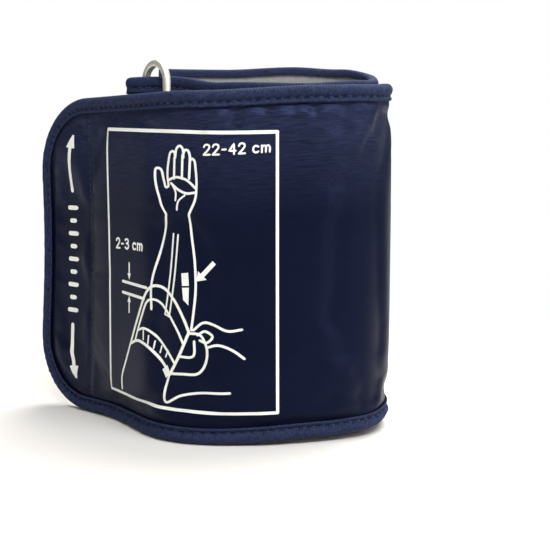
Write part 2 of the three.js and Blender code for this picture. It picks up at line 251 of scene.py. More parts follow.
def puckers(seed, spacing, size, reach):
    """Short creases that run out from the sewn edges, drawn by the thread."""
    draw = np.random.RandomState(seed)
    s, z = np.meshgrid(FIELD_S, FIELD_Z, indexing="ij")
    total = np.zeros(s.shape)
    for top in (False, True):
        inward = (WIDTH - TAPE - z) if top else (z - TAPE)
        inward = np.clip(inward, 0, None)
        for at in np.arange(4, LENGTH - CORNER, spacing):
            centre = at + draw.uniform(-0.4, 0.4) * spacing
            width = draw.uniform(1.6, 3.6)
            height = draw.uniform(-1, 1) * size
            slant = draw.uniform(-0.5, 0.5)
            length = reach * draw.uniform(0.6, 1.5)
            near = np.abs(FIELD_S - centre) < 5 * width + slant * 20
            across = ridge(s[near], centre + slant * inward[near], width)
            total[near] += height * across * rise_and_fall(inward[near] / length)
    return total


CREASE_SPREAD = 0.12              # how much wider a crease gets for each millimetre down
CREASE_PEAK = 0.45                # where along its length it is highest
# creases drawn down from the top binding beside the fold: s, width, height, slant and length
TOP_CREASES = [
    (453, 2.2, 1.9, 0.5, 10), (447, 1.9, -1.6, 0.3, 9), (440, 2.2, 2.4, 0.7, 13), (434, 1.8, -1.8, 0.4, 9),
    (428, 2.0, 1.5, 0.1, 9), (421, 2.4, 2.4, -0.5, 13), (415, 1.8, -1.8, 0.1, 8), (408, 2.2, 2.2, 0.6, 11),
    (401, 2.0, -1.4, 0.3, 8), (392, 2.8, 1.2, -0.3, 9), (383, 2.6, -0.6, 0.2, 7),
]


def top_creases():
    s, z = np.meshgrid(FIELD_S, FIELD_Z, indexing="ij")
    inward = np.clip(WIDTH - TAPE - z, 0, None)
    total = np.zeros(s.shape)
    for at, width, height, slant, length in TOP_CREASES:
        across = ridge(s, at + slant * inward, width + CREASE_SPREAD * inward)
        total += height * across * rise_and_fall(inward / (length * CREASE_PEAK))
    return total


def build_field():
    s, z = np.meshgrid(FIELD_S, FIELD_Z, indexing="ij")
    away = seam_distance(s, z)
    draw = np.random.RandomState(11)
    waves = sum(draw.uniform(-1, 1) * np.sin(s / draw.uniform(9, 30) + draw.uniform(0, 6)
                + z / draw.uniform(10, 40) * draw.choice([-1, 1])) for _ in range(14)) * 0.16
    swelling = simulated_swelling() + waves * 0.6
    swelling = swelling * smoothstep(away, 0, 5) + puckers(5, 8.0, 0.5, 4.5) + top_creases()
    free = smoothstep(away, 0, 1.2)
    outwards = in_table(1, s)
    inwards = np.where(s < LAYER_SEAM + 6, TUCK, LINING_ROOM)
    limited = np.where(swelling > 0, outwards * np.tanh(swelling / outwards),
                       inwards * np.tanh(swelling / inwards)) * free
    port = np.hypot(s - PORT_AT, z - WIDTH / 2)
    index = ridge(s, LENGTH - INDEX_SEAM_BACK, 1.1)
    sunk = -TAPE_SINK * ridge(away, 0, SINK_REACH) * smoothstep(s, 388, 412) * (1 + 1.2 * index)
    raised = limited * smoothstep(port, *PORT_FLAT) + sunk * (seam_distance(s, z) < TAPE)
    return blurred(blurred(raised, 0.8, 0), 0.8, 1)


def from_grid(values, s, z):
    """Bilinear look-up of a field of the strip."""
    u = np.clip(np.asarray(s, float) / FIELD_STEP, 0, len(FIELD_S) - 1.001)
    v = np.clip(np.asarray(z, float) / FIELD_STEP, 0, len(FIELD_Z) - 1.001)
    i, j = u.astype(int), v.astype(int)
    a, b = u - i, v - j
    return (values[i, j] * (1 - a) * (1 - b) + values[i + 1, j] * a * (1 - b)
            + values[i, j + 1] * (1 - a) * b + values[i + 1, j + 1] * a * b)


TWIST = 2.5                       # how far the free end leans, out at the bottom and back at the top
SPREAD = 1.5                      # and how far both its corners stand out
FLARE = 6.5                       # how far the flap's front stands out at the bottom
FLARE_HEIGHT = 95                 # and the height at which that ends
EDGE_WAVE = 0.5


def bend(s, z):
    """Slow bends that every layer of the flap shares: the free end's twist and its wavy edge."""
    s, z = np.broadcast_arrays(np.asarray(s, float), np.asarray(z, float))
    loose = smoothstep(s, 478, LENGTH)
    wave = EDGE_WAVE * np.sin(z / 19 + 0.6) * smoothstep(s, 500, LENGTH)
    front = smoothstep(s, 392, 440) * (1 - smoothstep(s, 478, 525))
    flare = FLARE * front * np.clip(1 - z / FLARE_HEIGHT, 0, 1) ** 2
    below = (WIDTH / 2 - z) / (WIDTH / 2)
    return (below * TWIST + below ** 2 * SPREAD) * loose + wave + flare


# ---- Mesh helpers ----
def grid_faces(rows, columns, offset=0, flipped=False):
    """Quads of a grid of points; unflipped ones face out through the navy side."""
    index = np.arange(rows * columns).reshape(rows, columns) + offset
    corners = [index[:-1, :-1], index[:-1, 1:], index[1:, 1:], index[1:, :-1]]
    if flipped:
        corners.reverse()
    return np.stack([c.ravel() for c in corners], -1)


def tube_faces(rows, columns, looped=False):
    """Quads of a tube of closed rings, one ring a row; looped also joins the last ring to the first."""
    index = np.arange(rows * columns).reshape(rows, columns)
    if looped:
        index = np.concatenate([index, index[:1]])
    around = np.concatenate([index, index[:, :1]], 1)
    corners = [around[:-1, :-1], around[:-1, 1:], around[1:, 1:], around[1:, :-1]]
    return np.stack(corners, -1).reshape(-1, 4).tolist()


def end_caps(rows, columns):
    """The two flat ends of such a tube, each as one face."""
    first, last = list(range(columns)), list(range((rows - 1) * columns, rows * columns))
    return [first[::-1], last]


def make_object(name, points, faces, material, strip=None, flat=False):
    """A mesh object; strip holds each point's s, z and n, which the materials read."""
    mesh = bpy.data.meshes.new(name)
    mesh.from_pydata(np.asarray(points).tolist(), [], [list(map(int, face)) for face in faces])
    mesh.validate()
    if strip is not None:
        attribute = mesh.attributes.new("strip", "FLOAT_VECTOR", "POINT")
        attribute.data.foreach_set("vector", np.asarray(strip, np.float32).ravel())
    if not flat:
        mesh.shade_smooth()
    mesh.materials.append(material)
    piece = bpy.data.objects.new(name, mesh)
    bpy.context.scene.collection.objects.link(piece)
    return piece


def marks_between(start, end, step):
    return np.linspace(start, end, max(int(round((end - start) / step)), 1) + 1)


def slab(name, s_marks, columns, faces_n, inset, offset, material):
    """A closed thin sheet along the strip. faces_n is (inner, outer) n; offset(s, z) moves both."""
    s = s_marks[:, None] + np.zeros(columns)
    low = edge_height(s, inset)
    z = low + np.linspace(0, 1, columns)[None, :] * (WIDTH - 2 * low)
    move = offset(s, z)
    sides = [(s, faces_n[1] + move, z), (s, faces_n[0] + move, z)]
    points = np.concatenate([place(*side).reshape(-1, 3) for side in sides])
    strip = np.concatenate([np.stack([a, c, b], -1).reshape(-1, 3) for a, b, c in sides])
    rows, half = len(s_marks), len(s_marks) * columns
    index = np.arange(half).reshape(rows, columns)
    rim = np.concatenate([index[:, 0], index[-1, 1:], index[::-1, -1][1:], index[0, ::-1][1:-1]])
    after = np.roll(rim, -1)
    walls = np.stack([rim, after, after + half, rim + half], -1)
    faces = np.concatenate([grid_faces(rows, columns),
                            grid_faces(rows, columns, half, flipped=True), walls])
    return make_object(name, points, faces, material, strip)


def end_marks(start, step, inset):
    """Stations from start round the flap's rounded free end, closer together in its corners."""
    radius = CORNER - inset
    straight = LENGTH - CORNER
    corner = straight + radius * np.sin(np.linspace(0, math.pi / 2, 30))
    return np.concatenate([marks_between(start, straight, step)[:-1], corner])


def swept(name, frames, section, material, offset):
    """A closed section carried along an edge of the strip. frames holds each station's edge point
    (s, z) and the way in from it; the section holds (distance in, n) points."""
    s = frames[:, 0:1] + frames[:, 2:3] * section[:, :, 0]
    z = frames[:, 1:2] + frames[:, 3:4] * section[:, :, 0]
    n = section[:, :, 1]
    points = place(s, n + offset(s, z), z).reshape(-1, 3)
    strip = np.stack([s, z, n], -1).reshape(-1, 3)
    faces = tube_faces(*s.shape) + end_caps(*s.shape)
    return make_object(name, points, outward(points, faces), material, strip)


def outward(points, faces):
    """The same faces, turned round if their normals face inwards."""
    volume = 0.0
    for face in faces:
        a = points[face[0]]
        for b, c in zip(face[1:-1], face[2:]):
            volume += np.dot(a, np.cross(points[b], points[c]))
    return [list(face)[::-1] for face in faces] if volume < 0 else faces


def strip_offset(share=1.0):
    """How a layer follows the fabric's swelling, as a share of it."""
    return lambda s, z: share * from_grid(SWELLING, s, z) + bend(s, z)


# ---- Materials: each is a node tree; anything even over the surface sits on the shader itself ----
def colour(red, green, blue):
    """Linear colour from 0-255 display values."""
    def linear(v):
        v /= 255
        return v / 12.92 if v <= 0.04045 else ((v + 0.055) / 1.055) ** 2.4
    return (linear(red), linear(green), linear(blue), 1)


class Look:
    """A material under construction: a Principled shader and short calls for the nodes before it."""

    def __init__(self, name, **sockets):
        self.material = bpy.data.materials.new(name)
        self.material.use_nodes = True
        self.tree = self.material.node_tree
        self.shader = self.tree.nodes["Principled BSDF"]
        for socket, value in sockets.items():
            self.shader.inputs[socket.replace("_", " ").title().replace("Ior", "IOR")].default_value = value

    def node(self, kind, inputs=(), **settings):
        node = self.tree.nodes.new(kind)
        for key, value in settings.items():
            setattr(node, key, value)
        for key, value in dict(inputs).items():
            if isinstance(value, bpy.types.NodeSocket):
                self.tree.links.new(value, node.inputs[key])
            else:
                node.inputs[key].default_value = value
        return node

    def strip(self, along=1.0, across=1.0, out=1.0):
        """Strip coordinates in millimetres, scaled: x along the strip, y up, z out."""
        source = self.node("ShaderNodeAttribute", attribute_name="strip").outputs["Vector"]
        return self.node("ShaderNodeVectorMath", {0: source, 1: (along, across, out)},
                         operation="MULTIPLY").outputs[0]

    def place(self, scale=1000.0):
        """The object's own coordinates, in millimetres."""
        source = self.node("ShaderNodeTexCoord").outputs["Object"]
        return self.node("ShaderNodeVectorMath", {0: source, 1: (scale,) * 3},
                         operation="MULTIPLY").outputs[0]

    def noise(self, vector, scale=1.0, detail=3.0, roughness=0.5):
        return self.node("ShaderNodeTexNoise", {"Vector": vector, "Scale": scale, "Detail": detail,
                                                "Roughness": roughness}).outputs["Fac"]

    def bands(self, vector, scale, direction="X", distortion=0.0):
        return self.node("ShaderNodeTexWave", {"Vector": vector, "Scale": scale,
                                               "Distortion": distortion, "Detail": 1.0},
                         bands_direction=direction).outputs["Fac"]

    def range(self, value, low, high, start=0.0, end=1.0):
        return self.node("ShaderNodeMapRange", {"Value": value, "From Min": start, "From Max": end,
                                                "To Min": low, "To Max": high}).outputs[0]

    def math(self, operation, a, b):
        return self.node("ShaderNodeMath", {0: a, 1: b}, operation=operation).outputs[0]

    def mix(self, factor, a, b):
        node = self.node("ShaderNodeMix", data_type="RGBA")
        sockets = [s for s in node.inputs if s.type == "RGBA"]
        for socket, value in zip(sockets, (a, b)):
            if isinstance(value, bpy.types.NodeSocket):
                self.tree.links.new(value, socket)
            else:
                socket.default_value = value
        self.tree.links.new(factor, node.inputs["Factor"])
        return next(s for s in node.outputs if s.type == "RGBA")

    def bump(self, height, strength, distance, before=None):
        inputs = {"Height": height, "Strength": strength, "Distance": distance}
        if before is not None:
            inputs["Normal"] = before
        return self.node("ShaderNodeBump", inputs).outputs[0]

    def finish(self, base, roughness=None, normal=None):
        self.tree.links.new(base, self.shader.inputs["Base Color"])
        if roughness is not None:
            self.tree.links.new(roughness, self.shader.inputs["Roughness"])
        if normal is not None:
            self.tree.links.new(normal, self.shader.inputs["Normal"])
        return self.material


def weave(look, pitch):
    """Plain weave: two sets of threads at right angles, the given pitch apart, in millimetres."""
    turns = math.tau / pitch / 20     # a wave texture has 20 radians to a unit at scale 1
    across = look.bands(look.strip(), turns, "X", 0.6)
    along = look.bands(look.strip(), turns, "Y", 0.6)
    return look.math("MULTIPLY", across, along)


def navy_nylon():
    look = Look("navy_nylon", specular_ior_level=0.15, specular_tint=(0.26, 0.36, 0.9, 1))
    threads = weave(look, 0.5)
    streaks = look.noise(look.strip(0.14, 3.2), 1.0, 4.0, 0.6)
    patches = look.noise(look.strip(), 0.035, 3.0)
    shade = look.mix(look.range(patches, 0, 1, 0.35, 0.65), colour(7, 10, 24), colour(11, 14, 31))
    shade = look.mix(look.range(streaks, 0, 0.5, 0.3, 0.75), shade, colour(16, 20, 38))
    shade = look.mix(look.range(threads, 0.0, 0.35), shade, colour(20, 25, 48))
    # painted highlight: the nylon is drawn lighter towards its top binding, along its streaks, where light
    # from above would catch the fabric
    height = look.node("ShaderNodeSeparateXYZ", {0: look.strip()}).outputs["Y"]
    painted_highlight_mask = look.range(height, 0, 1, 96, 134)
    drawn = look.math("MULTIPLY", painted_highlight_mask, look.range(streaks, 0.15, 0.9, 0.35, 0.65))
    shade = look.mix(drawn, shade, colour(42, 47, 70))
    rough = look.range(streaks, 0.32, 0.44)
    fine = look.bump(threads, 0.35, 0.00006)
    crinkle = look.noise(look.strip(0.5, 0.9), 0.5, 5.0, 0.6)
    return look.finish(shade, rough, look.bump(crinkle, 0.25, 0.00035, fine))


def navy_tape():
    look = Look("navy_tape", specular_ior_level=0.14, specular_tint=(0.5, 0.58, 0.9, 1), sheen_weight=0.04,
                sheen_roughness=0.4, sheen_tint=(0.5, 0.6, 1, 1))
    ribs = look.bands(look.strip(1.0, 1.0, 1.0), math.tau / 0.62 / 20, "DIAGONAL", 0.8)
    grain = look.noise(look.strip(0.8, 0.8, 0.8), 1.0, 4.0, 0.7)
    wear = look.noise(look.strip(), 0.08, 3.0)
    shade = look.mix(look.range(grain, 0, 1, 0.35, 0.65), colour(12, 16, 31), colour(43, 50, 78))
    shade = look.mix(look.range(wear, 0, 0.5, 0.4, 0.7), shade, colour(31, 37, 62))
    shade = look.mix(look.range(ribs, 0, 0.3), shade, colour(56, 65, 96))
    rough = look.range(grain, 0.55, 0.8)
    rumple = look.noise(look.strip(0.32, 0.32, 0.32), 1.0, 5.0, 0.62)
    fine = look.bump(ribs, 0.6, 0.00014)
    soft = look.bump(rumple, 0.55, 0.0009, fine)
    return look.finish(shade, rough, look.bump(grain, 0.6, 0.0003, soft))


def navy_pile():
    look = Look("navy_pile", specular_ior_level=0.08, sheen_weight=0.1, sheen_roughness=0.6,
                sheen_tint=(0.5, 0.58, 1, 1))
    loops = look.noise(look.strip(1.1, 1.1, 1.1), 1.0, 5.0, 0.75)
    nap = look.noise(look.strip(0.12, 0.05), 1.0, 3.0)
    shade = look.mix(look.range(loops, 0, 1, 0.3, 0.7), colour(10, 13, 27), colour(34, 40, 66))
    shade = look.mix(look.range(nap, 0, 0.6, 0.35, 0.7), shade, colour(22, 27, 47))
    rough = look.range(loops, 0.85, 1.0)
    return look.finish(shade, rough, look.bump(loops, 0.9, 0.0005))


def grey_lining():
    look = Look("grey_lining", specular_ior_level=0.15, sheen_weight=0.3, sheen_roughness=0.5)
    knit = weave(look, 0.8)
    soft = look.noise(look.strip(0.6, 0.6), 1.0, 4.0, 0.6)
    broad = look.noise(look.strip(), 0.03, 2.0)
    shade = look.mix(look.range(soft, 0, 1, 0.3, 0.7), colour(130, 129, 127), colour(156, 155, 153))
    shade = look.mix(look.range(broad, 0, 0.6, 0.35, 0.65), shade, colour(142, 142, 143))
    rough = look.range(soft, 0.75, 0.92)
    fine = look.bump(knit, 0.4, 0.00012)
    return look.finish(shade, rough, look.bump(soft, 0.4, 0.0003, fine))


def thread(name, dark, light):
    look = Look(name, specular_ior_level=0.3, sheen_weight=0.3, sheen_roughness=0.4)
    twist = look.bands(look.place(), math.tau / 0.5 / 20, "DIAGONAL", 1.0)
    tone = look.noise(look.place(0.1), 1.0, 2.0)
    shade = look.mix(look.range(twist, 0, 0.45), dark, light)
    # painted highlight: stretches of stitches are drawn in the bright blue, as thread that catches the light;
    # the twist bands above are the thread's own ply
    shade = look.mix(look.range(tone, 0, 0.8, 0.5, 0.62), shade, light)
    return look.finish(shade, look.range(twist, 0.5, 0.75), look.bump(twist, 0.6, 0.00012))


def white_print():
    look = Look("white_print", specular_ior_level=0.3)
    threads = weave(look, 0.5)
    specks = look.noise(look.strip(3, 3), 1.0, 4.0, 0.6)
    shade = look.mix(look.range(specks, 0, 1, 0.35, 0.6), colour(226, 226, 216), colour(244, 244, 235))
    shade = look.mix(look.range(threads, 0.12, 0), shade, colour(205, 206, 200))
    return look.finish(shade, look.range(specks, 0.5, 0.7), look.bump(threads, 0.3, 0.00006))


def bladder_film():
    look = Look("bladder_film", specular_ior_level=0.5)
    cloudy = look.noise(look.place(0.08), 1.0, 4.0)
    creases = look.noise(look.place(0.5), 1.0, 5.0, 0.6)
    shade = look.mix(look.range(cloudy, 0, 1, 0.3, 0.7), colour(66, 69, 76), colour(86, 90, 97))
    return look.finish(shade, look.range(creases, 0.35, 0.6), look.bump(creases, 0.3, 0.0002))


def port_plastic():
    look = Look("port_plastic", specular_ior_level=0.5)
    grain = look.noise(look.place(2.0), 1.0, 4.0, 0.6)
    flow = look.noise(look.place(0.2), 1.0, 2.0)
    shade = look.mix(look.range(flow, 0, 1, 0.3, 0.7), colour(38, 40, 45), colour(52, 55, 61))
    return look.finish(shade, look.range(grain, 0.32, 0.5), look.bump(grain, 0.25, 0.00004))


def grommet_rubber():
    look = Look("grommet_rubber", specular_ior_level=0.35)
    dust = look.noise(look.place(0.35), 1.0, 4.0)
    grain = look.noise(look.place(4.0), 1.0, 3.0)
    shade = look.mix(look.range(dust, 0, 1, 0.4, 0.75), colour(24, 25, 27), colour(48, 49, 52))
    return look.finish(shade, look.range(grain, 0.6, 0.85), look.bump(grain, 0.4, 0.00006))


def ring_nickel():
    look = Look("ring_nickel", metallic=0.7)
    scuffs = look.noise(look.place(0.6), 1.0, 5.0, 0.6)
    hair = look.noise(look.place(6.0), 1.0, 3.0)
    shade = look.mix(look.range(scuffs, 0, 1, 0.35, 0.7), colour(250, 244, 228), colour(232, 225, 208))
    return look.finish(shade, look.range(scuffs, 0.26, 0.42), look.bump(hair, 0.12, 0.00003))


def hook_tape():
    look = Look("hook_tape", specular_ior_level=0.4)
    rows = weave(look, 1.0)
    lint = look.noise(look.strip(0.7, 0.7, 0.7), 1.0, 4.0, 0.7)
    shade = look.mix(look.range(rows, 0, 1), colour(22, 25, 38), colour(38, 43, 60))
    shade = look.mix(look.range(lint, 0, 0.5, 0.6, 0.8), shade, colour(88, 90, 98))
    return look.finish(shade, look.range(lint, 0.4, 0.6), look.bump(rows, 0.5, 0.0002))


NYLON = navy_nylon()
TAPE_LOOK = navy_tape()
PILE = navy_pile()
LINING = grey_lining()
NAVY_THREAD = thread("blue_thread", colour(6, 9, 21), colour(40, 66, 112))
PRINT = white_print()
FILM = bladder_film()
PLASTIC = port_plastic()
RUBBER = grommet_rubber()
NICKEL = ring_nickel()
HOOKS = hook_tape()


# ---- Fabric pieces ----
SWELLING = build_field()
LINING_SHARE = -0.35              # the lining swells the other way, less
PANEL_STEP = 1.2
HIDDEN_STEP = 2.0


def panels():
    """The navy skins and the grey linings, in two lengths that meet at the layer seam."""
    end_skin = end_marks(LAYER_SEAM, PANEL_STEP, BODY_INSET)
    back_skin = marks_between(GAP, LAYER_SEAM - GAP, HIDDEN_STEP)
    columns = int(WIDTH / PANEL_STEP)
    coarse = int(WIDTH / HIDDEN_STEP)
    lining = (-SKIN[1], -SKIN[0])
    pile = slab("pile_fabric", back_skin, coarse, SKIN, BODY_INSET, strip_offset(), PILE)
    cut_hole(pile, place(PORT_AT, 0, WIDTH / 2), PORT_HOLE)
    nylon = slab("flap_fabric", end_skin, columns, SKIN, BODY_INSET, strip_offset(), NYLON)
    inside = slab("lining_fabric", back_skin, coarse, lining, BODY_INSET,
                  strip_offset(LINING_SHARE), LINING)
    flap_inside = slab("flap_lining_fabric", end_marks(LAYER_SEAM, HIDDEN_STEP, BODY_INSET), coarse,
                       lining, BODY_INSET, strip_offset(LINING_SHARE), LINING)
    return pile, nylon, inside, flap_inside


def cut_hole(piece, centre, radius):
    """A round hole through a thin sheet, along +Y."""
    count = 48
    turn = np.arange(count) * math.tau / count
    ring = np.stack([centre[0] + radius * MM * np.cos(turn), np.zeros(count),
                     centre[2] + radius * MM * np.sin(turn)], -1)
    ends = [ring + (0, centre[1] + y * MM, 0) for y in (-6, 6)]
    faces = [[k, (k + 1) % count, (k + 1) % count + count, k + count] for k in range(count)]
    faces += [list(range(count))[::-1], list(range(count, 2 * count))]
    points = np.concatenate(ends)
    cutter = make_object("cutter", points, outward(points, faces), PILE, flat=True)
    cut = piece.modifiers.new("hole", "BOOLEAN")
    cut.operation = "DIFFERENCE"
    cut.solver = "EXACT"
    cut.object = cutter
    done = piece.evaluated_get(bpy.context.evaluated_depsgraph_get())
    mesh = bpy.data.meshes.new_from_object(done)
    piece.modifiers.clear()
    piece.data = mesh
    bpy.data.objects.remove(cutter)


# ---- Binding: tape folded over the edge, pulled in along its row of stitches ----
STITCH_PITCH = 4.0
SEAM_PITCH = 3.0                  # on the panels and pads
STITCH_IN = 5.1
TAPE_LIP = 7.2                    # how deep the tape reaches on the navy side
TAPE_BACK = 3.6                   # and on the lining side
TAPE_THICK = 0.36
ROLL = 2.4                        # the tape's folded edge is rounded from this deep outwards
TAPE_OUT = 2.3                    # how far the tape's faces stand off the strip's middle
GROOVE_WIDTH = 0.7
# ridges of the tape: height, how deep in from the edge, and width
CROWN = (0.42, 2.6, 1.7)
LIP = (0.22, TAPE_LIP - 0.6, 0.6)
CREASE = (0.22, 3.4, 1.8)
CORNER_FOLD = (0.42, 3.2, 2.0)


def straight_edge(start, end, top, step):
    """Stations along a straight edge of the strip: edge point and the way in."""
    s = marks_between(start, end, step)
    edge = np.full(len(s), WIDTH if top else 0.0)
    way_in = np.full(len(s), -1.0 if top else 1.0)
    return np.stack([s, edge, np.zeros(len(s)), way_in], -1)


def flap_edge(start, step):
    """Stations along the bottom, round the free end and back along the top."""
    straight = LENGTH - CORNER
    turn = np.linspace(-math.pi / 2, 0, max(int(CORNER * math.pi / 2 / step), 8) + 1)
    corner = np.stack([straight + CORNER * np.cos(turn), CORNER + CORNER * np.sin(turn),
                       -np.cos(turn), -np.sin(turn)], -1)
    end = marks_between(CORNER, WIDTH - CORNER, step)
    side = np.stack([np.full(len(end), LENGTH), end, np.full(len(end), -1.0), np.zeros(len(end))], -1)
    upper = corner[::-1] * (1, -1, 1, -1) + (0, WIDTH, 0, 0)
    bottom = straight_edge(start, straight, False, step)
    top = straight_edge(start, straight, True, step)[::-1]
    return np.concatenate([bottom[:-1], corner[:-1], side[:-1], upper[:-1], top])


def path_length(frames):
    return np.concatenate([[0], np.cumsum(np.hypot(*np.diff(frames[:, :2], axis=0).T))])


def tape_height(deep, along, s, side):
    """How far the tape's face stands off the strip's middle, deep in from the edge."""
    roomy = in_table(1, s) if side > 0 else in_table(2, s)
    crown = CROWN[0] * np.minimum(roomy, 1.9) * ridge(deep, *CROWN[1:])
    pull = (0.3 + 0.25 * np.minimum(roomy, 2)) * (1 + 0.4 * np.cos(math.tau * along / STITCH_PITCH))
    groove = -pull * ridge(deep, STITCH_IN, GROOVE_WIDTH)
    lip = LIP[0] * np.minimum(roomy, 2) * ridge(deep, *LIP[1:])
    crease = CREASE[0] * np.sin(along / 1.3 + deep * 0.8) * np.sin(along / 5.3 + 1.3)
    ripple = crease * np.minimum(roomy, 1.6) * ridge(deep, *CREASE[1:])
    return TAPE_OUT + crown + groove + lip + ripple


def tape(name, frames, corner_creases, material):
    """The folded tape as one closed band: the outer face goes from the front lip, over the edge, to
    the back lip, and the inner face comes back under it."""
    along = path_length(frames)[:, None]
    s_edge = frames[:, 0:1]
    rolled = ROLL * (1 - np.sin(np.linspace(0, math.pi / 2, 9)[1:]) ** 0.8)
    front_deep = np.concatenate([np.linspace(TAPE_LIP, ROLL, 21), rolled])
    back_deep = np.concatenate([np.linspace(TAPE_BACK, ROLL, 5), rolled])
    front = tape_height(front_deep[None], along, s_edge, 1) * round_off(front_deep)
    back = tape_height(back_deep[None], along, s_edge, -1) * round_off(back_deep)
    if corner_creases:
        front = front + corner_wrinkles(frames, front_deep[None], along) * round_off(front_deep)
    outer_n = np.concatenate([front, -back[:, ::-1][:, 1:]], 1)
    outer_deep = np.concatenate([front_deep, back_deep[::-1][1:]])[None] + 0 * outer_n
    inner_deep = np.maximum(outer_deep, 0.5)[:, ::-1]
    thick = np.where(np.abs(outer_n) > 0.4, TAPE_THICK, 0.0)
    inner_n = (outer_n - np.sign(outer_n) * thick)[:, ::-1]
    section = np.stack([np.concatenate([outer_deep, inner_deep], 1),
                        np.concatenate([outer_n, inner_n], 1)], -1)
    return swept(name, frames, section, material, bend)


def round_off(deep):
    """How the folded edge of the tape closes towards the strip's middle."""
    return (1 - (1 - np.clip(deep / ROLL, 0, 1)) ** 3) ** (1 / 3)


def corner_wrinkles(frames, deep, along):
    """Where the tape goes round a corner its inner side is too long, and gathers in slanting folds."""
    curved = np.abs(frames[:, 2:3]) * np.abs(frames[:, 3:4]) * 2
    strong = np.where(frames[:, 1:2] < WIDTH / 2, 1.0, 0.45)
    folds = np.sin(along * 1.75 + deep * 0.7) + 0.5 * np.sin(along * 2.6 - deep * 0.4 + 1)
    return CORNER_FOLD[0] * curved * strong * folds * ridge(deep, *CORNER_FOLD[1:])


def at_path(frames, marks):
    """Edge points and ways in at the given distances along a path of stations."""
    length = path_length(frames)
    return np.stack([np.interp(marks, length, frames[:, k]) for k in range(4)], -1)


def stitch_row(name, frames, deep, height, material, pitch=STITCH_PITCH, side=1, swelling=0):
    """A row of single stitches a pitch apart, each a short arched thread that dives in at its ends.
    height(s, along) is the fabric's n under the row, before its share of the swelling."""
    long = pitch * 0.68
    total = path_length(frames)[-1]
    rings = np.linspace(-1, 1, 9)
    sides = np.arange(6) / 6 * math.tau
    centres = np.arange(pitch / 2, total - long / 2, pitch)
    marks = centres[:, None] + rings[None] * long / 2
    stations = at_path(frames, marks.ravel()).reshape(len(centres), len(rings), 4)
    slim = np.sqrt(1 - (rings * 0.97) ** 2)[None, :, None]
    wide, high = 0.34 * slim * np.cos(sides), 0.26 * slim * np.sin(sides)
    arch = 0.10 - 0.34 * rings[None, :, None] ** 4
    inward = deep + wide + 0 * marks[..., None]
    s = stations[..., 0:1] + stations[..., 2:3] * inward
    z = stations[..., 1:2] + stations[..., 3:4] * inward
    base = height(stations[..., 0:1], marks[..., None])
    n = side * (base + arch + high) + bend(s, z) + swelling * from_grid(SWELLING, s, z)
    points = place(s, n, z).reshape(-1, 3)
    strip = np.stack([s, z, n], -1).reshape(-1, 3)
    size = len(rings) * len(sides)
    one = tube_faces(len(rings), len(sides)) + end_caps(len(rings), len(sides))
    one = outward(points[:size], one)
    faces = [[corner + k * size for corner in face] for k in range(len(centres)) for face in one]
    return make_object(name, points, faces, material, strip)


def tape_thread(s, along):
    return tape_height(STITCH_IN, along, s, 1) - 0.02


def bindings():
    wrap_top = straight_edge(GAP, LAYER_SEAM - 0.05, True, 1.0)
    wrap_bottom = straight_edge(GAP, LAYER_SEAM - 0.05, False, 1.0)
    flap = flap_edge(LAYER_SEAM + 0.05, 0.8)
    pieces = {
        "wrap_tape_top": (tape("wrap_tape_top", wrap_top, False, TAPE_LOOK), wrap_top),
        "wrap_tape_bottom": (tape("wrap_tape_bottom", wrap_bottom, False, TAPE_LOOK), wrap_bottom),
        "flap_tape": (tape("flap_tape", flap, True, TAPE_LOOK), flap),
    }
    threads = {}
    for name, (_, frames) in pieces.items():
        row = name.replace("tape", "thread")
        threads[row] = stitch_row(row, frames, STITCH_IN, tape_thread, NAVY_THREAD)
    return {name: piece for name, (piece, _) in pieces.items()}, threads


# ---- Seams on the panels ----
def upright(s, low, high, step=1.0):
    """Stations of a line that runs up the strip at one s; its way in is along the strip."""
    z = marks_between(low, high, step)
    return np.stack([np.full(len(z), s), z, np.ones(len(z)), np.zeros(len(z))], -1)


THREAD_SINK = 0.05                # the thread is pressed this far into what it lies on
SEAM_ENDS = 1.5                   # upright rows stop this far short of the tape
SEAM_STEP_IN = 2.4                # the layer seam's row, past the line where the two lengths meet


def panel_rows():
    """The rows of thread that run up the strip at the layer seam and at the index line."""
    def on_skin(s, along):
        return SKIN[1] - THREAD_SINK + 0 * s

    clear = TAPE + SEAM_ENDS
    seam = upright(LAYER_SEAM + SEAM_STEP_IN, clear, WIDTH - clear)
    index = upright(LENGTH - INDEX_SEAM_BACK, clear, WIDTH - clear)
    return (stitch_row("layer_seam_thread", seam, 0, on_skin, NAVY_THREAD, SEAM_PITCH, swelling=1),
            stitch_row("index_seam_thread", index, 0, on_skin, NAVY_THREAD, SEAM_PITCH, swelling=1))


# ---- Hem round the ring's leg ----
HEM_BORE = 2.1
HEM_OUT = 2.7
HEM_CUT_BACK = 7
TAIL_FACES = (-2.3, -1.85)        # n of the tail's two faces, behind the lining
TAIL_STITCH_IN = 2.4
TAIL_ROW_ENDS = 2.5


